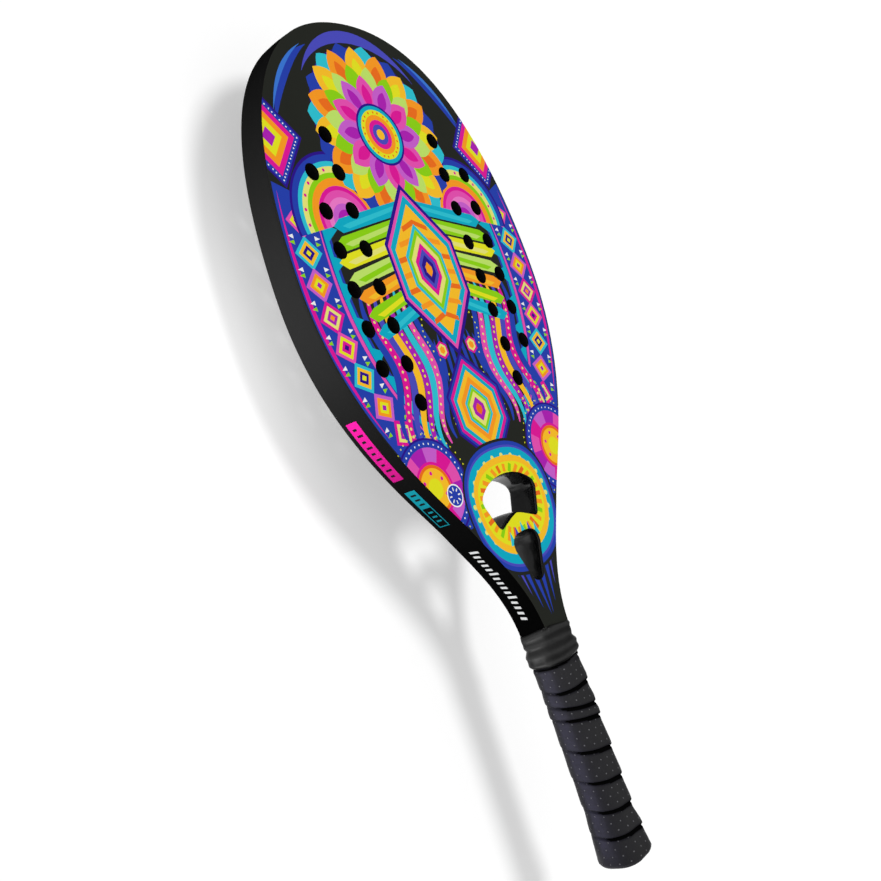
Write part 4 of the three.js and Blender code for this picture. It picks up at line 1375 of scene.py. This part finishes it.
@dataclass
class Overgrip:
    """The perforated tape, wound from the butt up, each turn lapping over the one before."""

    handle: HandleShape
    reference: float = 0.16
    edges: tuple[float, ...] = (-22.0, -9.0, 16.6, 30.6, 46.4, 63.6, 82.0, 89.6, 102.6, 117.6, 134.0, 150.0)
    sides: tuple[float, ...] = (-18.0, -3.0, 19.2, 34.2, 51.2, 69.0, 87.0, 94.4, 102.9, 122.0, 139.0, 154.0)
    side_at: float = 0.34
    start: float = 1.3
    stop: float = 10.3
    lap: float = 4.4
    full_width: float = 12.2
    thickness: float = 0.25
    edge_round: Point = (0.9, 0.55)
    tuck: tuple[float, float, float] = (1.6, 1.8, 0.65)
    waves: Point = (0.22, 0.07)
    edge_shade: Point = (0.45, 0.65)
    foot_shade: Point = (0.65, 1.2)
    foot_ahead: float = 0.7
    proud: float = 0.45
    padding: float = 0.34
    bulge: float = 0.9
    bulge_at: float = 115.4
    black_shade_from: float = 0.68
    bottom: float = 0.6
    top: float = 122.2
    collar_at: float = 118.2
    steps_per_turn: int = 112

    def edge_at(self, turns: float) -> float:
        """Gives the height of the lower edge after a number of turns.

        Args:
            turns: the turns, counted from the first edge at the reference.

        Returns:
            The height above the butt.
        """
        knots = []
        for number, (front, side) in enumerate(zip(self.edges, self.sides)):
            knots += [(float(number), front), (number + self.side_at, side)]
        after = next((k for k, knot in enumerate(knots) if knot[0] > turns), len(knots) - 1)
        at = min(max(after - 1, 1), len(knots) - 3)
        (t0, p0), (t1, p1), (t2, p2), (t3, p3) = knots[at - 1:at + 3]
        span = t2 - t1
        share = (turns - t1) / span
        leaving, arriving = (p2 - p0) / (t2 - t0) * span, (p3 - p1) / (t3 - t1) * span
        s2, s3 = share * share, share ** 3
        return ((2 * s3 - 3 * s2 + 1) * p1 + (s3 - 2 * s2 + share) * leaving
                + (3 * s2 - 2 * s3) * p2 + (s3 - s2) * arriving)

    def crown(self, turn: float) -> float:
        """Gives how far the padding swells the tape over the flat left and right sides."""
        near = turn * 2 % 1.0
        return self.padding * math.cos(math.pi / 2 * min(min(near, 1 - near) / 0.19, 1.0)) ** 2

    def held(self, turn: float) -> float:
        """Gives how far a lap stands up, as the tape is pulled tightest over the left side."""
        return 0.5 + 0.5 * math.cos(FULL_TURN * (turn - self.reference))

    def swell(self, y: float, turn: float) -> float:
        """Gives how far the tape bulges on the left just below the collar."""
        return self.bulge * max(math.cos(FULL_TURN * (turn - 0.5)), 0.0) * bell((y - self.bulge_at) / 2.6)

    def outer_depth(self, across: float, width: float, turn: float) -> float:
        """Gives the depth of the tape's outside at a place across it.

        Args:
            across: the distance from its lower edge.
            width: its width there.
            turn: the share of a turn.

        Returns:
            The depth below the plain outside of the winding, negative where it stands proud.
        """
        # The lower edge is rounded, and the upper one is tucked under the next turn.
        (round_width, round_depth), (ahead, tuck_width, tuck_depth) = self.edge_round, self.tuck
        rounded = (1 - min(across / round_width, 1.0)) ** 2 * round_depth
        settled = eased((across - self.lap * 0.75) / (self.lap * 0.9))
        seated = self.proud * (0.45 + 0.55 * self.held(turn)) * (settled * 1.9 - 1)
        return seated + rounded + clamp((across - (width - self.lap - ahead)) / tuck_width) * tuck_depth

    def painted_lap_shade(self, across: float, width: float, turn: float, below: float) -> float:
        """Gives how dark the tape is painted where shade falls at the foot of a lap and under the collar.

        Args:
            across: the distance from the tape's lower edge.
            width: its width there.
            turn: the share of a turn, as the painted shade is strongest where the laps stand up most.
            below: the distance below the collar.

        Returns:
            The darkness from 0 to 1.
        """
        # Each streak of painted shade is as wide as its first number, and wider by the second where the lap stands
        # up.
        held = self.held(turn)
        edge_width, foot_width = (slack + more * held for slack, more in (self.edge_shade, self.foot_shade))
        edge = bell(across / edge_width)
        foot = bell((across - (width - self.lap - self.foot_ahead)) / foot_width, 3)
        seam = min(max(edge, foot), 1.0) * (0.12 + 0.88 * min(held * 2.4, 1.0))
        # Painted shade also darkens a band just below the collar's edge, all the way round.
        return max(seam * clamp((below - 1.2) / 2.5), bell(below / 1.2) * (0.72 + 0.28 * held))

    def build(self) -> None:
        """Builds and dresses the tape."""
        near = (0.0, 0.12, 0.3, 0.6, 1.0, 1.6, 2.4, 3.4)
        far = (8.4, 7.3, 6.5, 5.9, 5.4, 5.0, 4.6, 4.1, 2.6, 1.2, 0.3, 0.0)
        work, rings, shade = MeshWork(), [], []
        total = int((self.stop - self.start) * self.steps_per_turn)
        perimeter = self.handle.perimeter()
        for step in range(total + 1):
            turns = self.start + (self.stop - self.start) * step / total
            turn = turns + self.reference
            high = min(self.edge_at(turns) + self.lap, self.top)
            low = min(max(self.edge_at(turns - 1), self.bottom), high - 0.6)
            width = high - low
            squeeze = min(width / self.full_width, 1.0)
            line = [c * squeeze for c in near] + [width - c * squeeze for c in far]
            outer, under = [], []
            for across in line:
                y = low + across
                drift = noise(Vector((turn * 2.1, y * 0.11, 3.7))) * self.waves[0]
                drift += noise(Vector((turn * 9, y * 0.35, 9.1))) * self.waves[1]
                depth = self.outer_depth(across, width, turn) - drift - self.crown(turn) - self.swell(y, turn)
                outer.append(self.handle.point(turn, y, depth))
                seat = max(depth + self.thickness, 0.9 if across > self.lap else 0.55)
                under.append(self.handle.point(turn, y, seat))
            rings.append([*outer, *reversed(under)])
            collar_edge = self.collar_at + collar_lean(turn)
            for across in (*line, *reversed(line)):
                work.places.append((turns * perimeter, across))
                shade.append(self.painted_lap_shade(across, width, turn, collar_edge - low - across))
        work.loft(rings, caps=True)
        tape = PerforatedTape("perforated_polyurethane_tape", "2b2b2a", roughness=0.42, level=0.22).build()
        # Painted shade: where one turn presses on the next, the faces deepest in its shade get a near-black matt
        # material.
        pressed = MouldedRubber("painted_shade_tape_edge", "050505", roughness=0.95, level=0.0, grain=0.5).build()
        piece = work.finish("overgrip_winding", [tape, pressed], smooth_below=60)
        # Faces whose painted shade is above this share take the near-black material.
        for face in piece.data.polygons:
            if sum(shade[corner] for corner in face.vertices) / len(face.vertices) > self.black_shade_from:
                face.material_index = 1
        piece.data.attributes.new("Seam", "FLOAT", "POINT").data.foreach_set("value", shade)
        settle(piece, "perforated_grip", "overgrip")


@dataclass
class Cushion:
    """The moulded cushion grip under the winding."""

    handle: HandleShape
    bottom: float = 6.8
    top: float = 126.4
    outer: float = 1.5
    inner: float = 2.5
    rounding: float = 0.4
    rows: int = 40

    def build(self) -> None:
        """Builds and dresses the sleeve."""
        heights = [self.bottom + (self.top - self.bottom) * row / self.rows for row in range(self.rows + 1)]
        rings = []
        for depth, order in ((self.outer, 1), (self.inner, -1)):
            for y in heights[::order]:
                drawn_in = self.rounding * order if y in (heights[0], heights[-1]) else 0.0
                rings.append(self.handle.ring(y, depth + drawn_in, 72))
        work = MeshWork()
        work.loft(rings)
        # Black cushion grip, matt and finely nubbed, seen only where the winding stops.
        grip = MouldedRubber("nubbed_cushion_grip", "202020", roughness=0.85, level=0.3).build()
        piece = work.finish("cushion_grip", [grip])
        settle(piece, "cushion_grip", "base_grip")


@dataclass
class Collar:
    """The rubber collar, rolled over the end of the winding and up the neck.

    Its section at either end is a half width, a half thickness and a corner radius. The section passes
    from one to the other from a share of the length on, over another share. Each end is rounded over a
    length, by a depth.
    """

    grip: tuple[float, float, float] = (12.8, 12.5, 9.3)
    neck: tuple[float, float, float] = (11.72, 9.62, 4.6)
    neck_corner_inside: float = 1.1
    taper: Point = (0.33, 0.39)
    corner_taper: Point = (0.48, 0.24)
    low_round: Point = (2.0, 1.0)
    high_round: Point = (0.9, 0.7)
    clearance: float = 0.15
    bottom: float = 119.0
    length: float = 20.6
    wall: float = 1.15
    slant: float = 2.6
    highest_at: float = 0.375
    groove: float = 0.75
    crest: float = 0.32
    folds: tuple[tuple[float, float, float, float], ...] = (
        (0.09, 0.055, 0.34, 0.0), (0.34, 0.065, 0.5, 0.3), (0.61, 0.065, 0.48, 0.62), (0.87, 0.06, 0.5, 0.1))
    rows: int = 66
    rows_inside: int = 12
    around: int = 144

    def drop(self, turn: float) -> float:
        """Gives how far the top edge hangs down, as it was rolled on at a slant."""
        off = abs(turn - self.highest_at)
        return self.slant * eased(min(off, 1 - off) / 0.25)

    def fold(self, share: float, turn: float) -> float:
        """Gives how far the outside stands out of its plain form.

        Args:
            share: the share of the length from the bottom.
            turn: the share of a turn.

        Returns:
            The height of the folds.
        """
        height = 0.0
        for middle, width, tall, phase in self.folds:
            wave = math.sin(FULL_TURN * (turn + phase))
            sway = 0.02 * wave + 0.012 * math.sin(2 * FULL_TURN * (turn - phase))
            height += tall * (0.75 + 0.25 * wave) * bell((share - middle - sway) / width)
        for off, (over, deep) in ((share, self.low_round), (1 - share, self.high_round)):
            height -= deep * max(1 - off * self.length / over, 0.0) ** 2
        return height + 0.05 * noise(Vector((turn * 11, share * 9, 1.3)))

    def ring(self, share: float, inside: bool) -> Ring:
        """Gives one ring of the collar.

        Args:
            share: the share of its length from the bottom.
            inside: whether it is on the inside.

        Returns:
            The ring's points.
        """
        # It passes from the round grip to the flatter neck, and its corners get tighter a little later.
        taper, square = (eased((share - start) / span) for start, span in (self.taper, self.corner_taper))
        grow = self.clearance if inside else self.wall
        half_width, half_thickness = (
            (low + grow) * (1 - taper) + (high + grow) * taper for low, high in zip(self.grip[:2], self.neck[:2]))
        corner = (self.grip[2] + grow) * (1 - square)
        corner += (self.neck_corner_inside if inside else self.neck[2]) * square
        section = HandleShape(half_width, half_thickness, corner, flare=0.0, end_round=0.001)
        points = []
        for turn in (step / self.around for step in range(self.around)):
            lean = collar_lean(turn)
            y = self.bottom + lean + (self.length - lean - self.drop(turn)) * share
            points.append(section.point(turn, y, 0.0 if inside else -self.fold(share, turn)))
        return points

    def build(self) -> None:
        """Builds and dresses the collar."""
        work = MeshWork()
        work.loft([*[self.ring(row / self.rows, False) for row in range(self.rows + 1)],
                   *[self.ring(1 - row / self.rows_inside, True) for row in range(self.rows_inside + 1)]])
        # Black latex rubber, rolled on: soft light along the crest of each fold, and painted shade in its grooves.
        rubber = MouldedRubber("rolled_latex_rubber", "2a2a2a", roughness=0.36, level=0.27, groove="0d0d0d").build()
        piece = work.finish("rubber_collar", [rubber], smooth_below=70)
        # Painted shade: the mask is highest in the grooves between the folds.
        deep = [max(self.groove - self.fold(row / self.rows, step / self.around) / self.crest, 0.0)
                for row in range(self.rows + 1) for step in range(self.around)]
        deep += [0.0] * (len(piece.data.vertices) - len(deep))
        piece.data.attributes.new("Groove", "FLOAT", "POINT").data.foreach_set("value", deep)
        settle(piece, "collar_rubber", "grip_collar")


@dataclass
class ButtCap:
    """The cap that closes the butt, under the first turn of the winding."""

    handle: HandleShape
    depth: float = 0.95
    inner: float = 2.9
    rows: int = 14

    def build(self) -> None:
        """Builds and dresses the cap."""
        handle = self.handle
        rings = [handle.ring(0.0, self.depth + inset, 96, y) for inset, y in ((5.0, 0.35), (2.4, 0.3), (2.0, 0.0))]
        rings += [handle.ring(handle.flange * row / self.rows, self.depth, 96) for row in range(self.rows + 1)]
        rings += [handle.ring(y, self.inner, 96) for y in (handle.flange, handle.cap_length)]
        work = MeshWork()
        work.loft(rings, caps=True)
        # Injection-moulded ABS with a fine spark texture, as caps have where the hand doesn't go.
        plastic = MouldedRubber("spark_textured_abs", "1b1b1b", roughness=0.5, level=0.5, grain=0.9).build()
        settle(work.finish("butt_end_cap", [plastic], smooth_below=35), "cap_plastic", "butt_cap")


@dataclass
class InnerParts:
    """The solids that stay as they are, inside the throat and the handle, with their own finishes."""

    pallets: tuple[str, ...] = ("handle_pallet_front", "handle_pallet_back")
    fillings: tuple[str, ...] = ("yoke_foam", "bridge_foam")
    tapes: tuple[str, ...] = ("finishing_tape",)

    def dress(self) -> None:
        """Gives each solid its material."""
        # Cast foam of the pallets, the softer foam that the laminate was wrapped round, and dull vinyl.
        for names, finish in (
                (self.pallets, Foam("rigid_polyurethane_foam", "c9bd9a", roughness=0.85, level=0.3, cell=1.2)),
                (self.fillings, Foam("pale_filling_foam", "d8d4c4", roughness=0.9, level=0.3, cell=1.0)),
                (self.tapes, Lacquer("vinyl_tape", "101010", roughness=0.4, level=0.5, peel=0.02))):
            material = finish.build()
            for name in names:
                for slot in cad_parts[name].material_slots:
                    slot.link = "OBJECT"
                    slot.material = material
                log.info("%s: dressed", name)


@dataclass
class Studio:
    """The white floor close behind the racket, soft lights and the camera."""

    camera_at: tuple[float, float, float] = (-485.439, 235.862, 359.428)
    focal: float = 1061.58
    frame_width: float = 881.0
    floor_at: float = -0.0575
    floor_tilt: Point = (-0.115, 0.0215)
    floor_reach: float = 6.0
    paper: float = 0.74
    paper_lift: float = 0.385
    key_from: tuple[float, float, float] = (0.358, 0.2328, 1.0)
    key_strength: float = 1.5
    fill_from: tuple[float, float, float] = (-0.96, -0.21, 0.2)
    fill_strength: float = 0.34
    sun_angle: float = 20.0
    low_at: tuple[float, float, float] = (-0.275, 0.33, -0.0085)
    low_power: float = 0.58
    low_spread: float = 112.0
    low_length: float = 0.1
    panel_at: tuple[float, float, float] = (-0.05, 0.053, -0.033)
    panel_power: float = 0.03
    panel_length: float = 0.128
    lamp_width: float = 0.018
    sky: float = 0.42
    sky_in_gloss: float = 0.15

    def camera(self) -> None:
        """Places the camera where the photograph was taken from."""
        data = bpy.data.cameras.new("camera")
        data.sensor_width = 36.0
        data.lens = self.focal / self.frame_width * data.sensor_width
        data.clip_start, data.clip_end = 0.01, 20.0
        seen = bpy.data.objects.new("camera", data)
        right = Vector((0.5931074082, -0.3370286199, 0.7311876037))
        down = Vector((-0.1837227323, -0.9408624359, -0.2846468589))
        ahead = Vector((0.7838810879, 0.0344903763, -0.6199522997))
        axes = Matrix((right, -down, -ahead)).transposed()
        seen.matrix_world = Matrix.Translation(Vector(self.camera_at) * MM) @ axes.to_4x4()
        bpy.context.scene.collection.objects.link(seen)
        bpy.context.scene.camera = seen

    def floor(self) -> None:
        """Builds the white floor, which keeps the racket's shadow and is clear from below."""
        material = bpy.data.materials.new("white_paper_floor")
        nodes = Nodes(material)
        # White paper, lifted for the camera alone: it burns out and throws no more light on the racket.
        paper = nodes.add("BsdfDiffuse", {"Color": (self.paper, self.paper, self.paper, 1.0)})
        seen = nodes.add("LightPath", output="Is Camera Ray")
        lift = nodes.add("Math", {0: seen, 1: self.paper_lift}, operation="MULTIPLY")
        white = nodes.add("Emission", {"Color": (1.0, 1.0, 1.0, 1.0), "Strength": lift})
        both = nodes.add("AddShader", {0: paper, 1: white})
        below = nodes.add("NewGeometry", output="Backfacing")
        nodes.add("OutputMaterial", {
            "Surface": nodes.add("MixShader", {0: below, 1: both, 2: nodes.add("BsdfTransparent")})})
        mesh = bpy.data.meshes.new("floor")
        reach, (tilt_x, tilt_y) = self.floor_reach, self.floor_tilt
        corners = [(-reach, -reach), (reach, -reach), (reach, reach), (-reach, reach)]
        mesh.from_pydata(
            [(x, y, self.floor_at + tilt_x * x + tilt_y * y) for x, y in corners], [], [(0, 1, 2, 3)])
        mesh.materials.append(material)
        floor = bpy.data.objects.new("floor", mesh)
        bpy.context.scene.collection.objects.link(floor)

    def lamp(self, name: str, kind: str, power: float, in_gloss: bool) -> Object:
        """Adds a lamp.

        Args:
            name: its name.
            kind: the kind of light.
            power: its strength.
            in_gloss: whether it is seen in glossy surfaces.

        Returns:
            The lamp.
        """
        light = bpy.data.lights.new(name, kind)
        light.energy = power
        lamp = bpy.data.objects.new(name, light)
        lamp.visible_glossy = in_gloss
        bpy.context.scene.collection.objects.link(lamp)
        return lamp

    def lights(self) -> None:
        """Sets the sky, the key, the fill, the low strip and the panel."""
        world = bpy.data.worlds.new("studio")
        bpy.context.scene.world = world
        nodes = Nodes(world)
        seen, through, glossy = (
            nodes.add("LightPath", output=f"Is {kind} Ray") for kind in ("Camera", "Transmission", "Glossy"))
        shown = nodes.add("Math", {0: seen, 1: through}, operation="MAXIMUM")
        soft = nodes.add("Mix", {"Factor": glossy, 2: self.sky, 3: self.sky_in_gloss}, data_type="FLOAT")
        strength = nodes.add("Mix", {"Factor": shown, 2: soft, 3: 1.0}, data_type="FLOAT")
        sky = nodes.add("Background", {"Color": (1.0, 1.0, 1.0, 1.0), "Strength": strength})
        nodes.add("OutputWorld", {"Surface": sky})
        for name, power, source in (("key", self.key_strength, self.key_from),
                                    ("fill", self.fill_strength, self.fill_from)):
            sun = self.lamp(name, "SUN", power, in_gloss=False)
            sun.data.angle = math.radians(self.sun_angle)
            sun.rotation_mode = "QUATERNION"
            sun.rotation_quaternion = Vector(source).to_track_quat("Z", "Y")
        # A low strip beside the head lifts the middle of its wall and leaves the faces alone.
        # A panel beside the handle is seen in its gloss alone, as a soft band down the tape.
        for name, power, length, place, spread, in_gloss in (
                ("low_strip", self.low_power, self.low_length, self.low_at, self.low_spread, False),
                ("gloss_panel", self.panel_power, self.panel_length, self.panel_at, 180.0, True)):
            strip = self.lamp(name, "AREA", power, in_gloss)
            strip.data.shape = "RECTANGLE"
            strip.data.size, strip.data.size_y = self.lamp_width, length
            strip.data.spread = math.radians(spread)
            strip.location = place
            strip.rotation_euler = (0.0, math.radians(-90), 0.0)
            strip.visible_diffuse = not in_gloss

    def build(self) -> None:
        """Builds the studio and sets how the picture is viewed."""
        self.camera()
        self.floor()
        self.lights()
        bpy.context.scene.view_settings.view_transform = "Standard"


def main() -> None:
    """Builds the studio, the head, the throat and the handle, in that order."""
    logging.basicConfig(level=logging.INFO, format="%(name)s: %(message)s")
    Studio().build()
    body = BodyShape()
    handle = HandleShape()
    # Matt lacquer over moulded carbon: nearly black, with no streak along the wall, and painted shade towards the
    # neck.
    paint = Lacquer("matt_black_lacquer", "111111", roughness=0.6, level=0.0, neck="050505").build()
    PrintedFace(body).build(paint)
    MouldedShell(body).build(paint)
    SideMarks(body).build()
    BackPanel(body).build()
    FoamCore(body).build()
    # Gloss lacquer inside the throat, where no hand or ball dulls it: white streaks on black.
    gloss = Lacquer("gloss_black_lacquer", "101011", roughness=0.16, level=1.0, peel=0.003).build()
    ThroatWindow("large_window_wall", LARGE_WINDOW, "throat_yoke").build(gloss)
    ThroatWindow("small_window_wall", SMALL_WINDOW, "throat_bridge").build(gloss)
    Cushion(handle).build()
    Overgrip(handle).build()
    Collar().build()
    ButtCap(handle).build()
    InnerParts().dress()


if __name__ == "__main__":
    main()
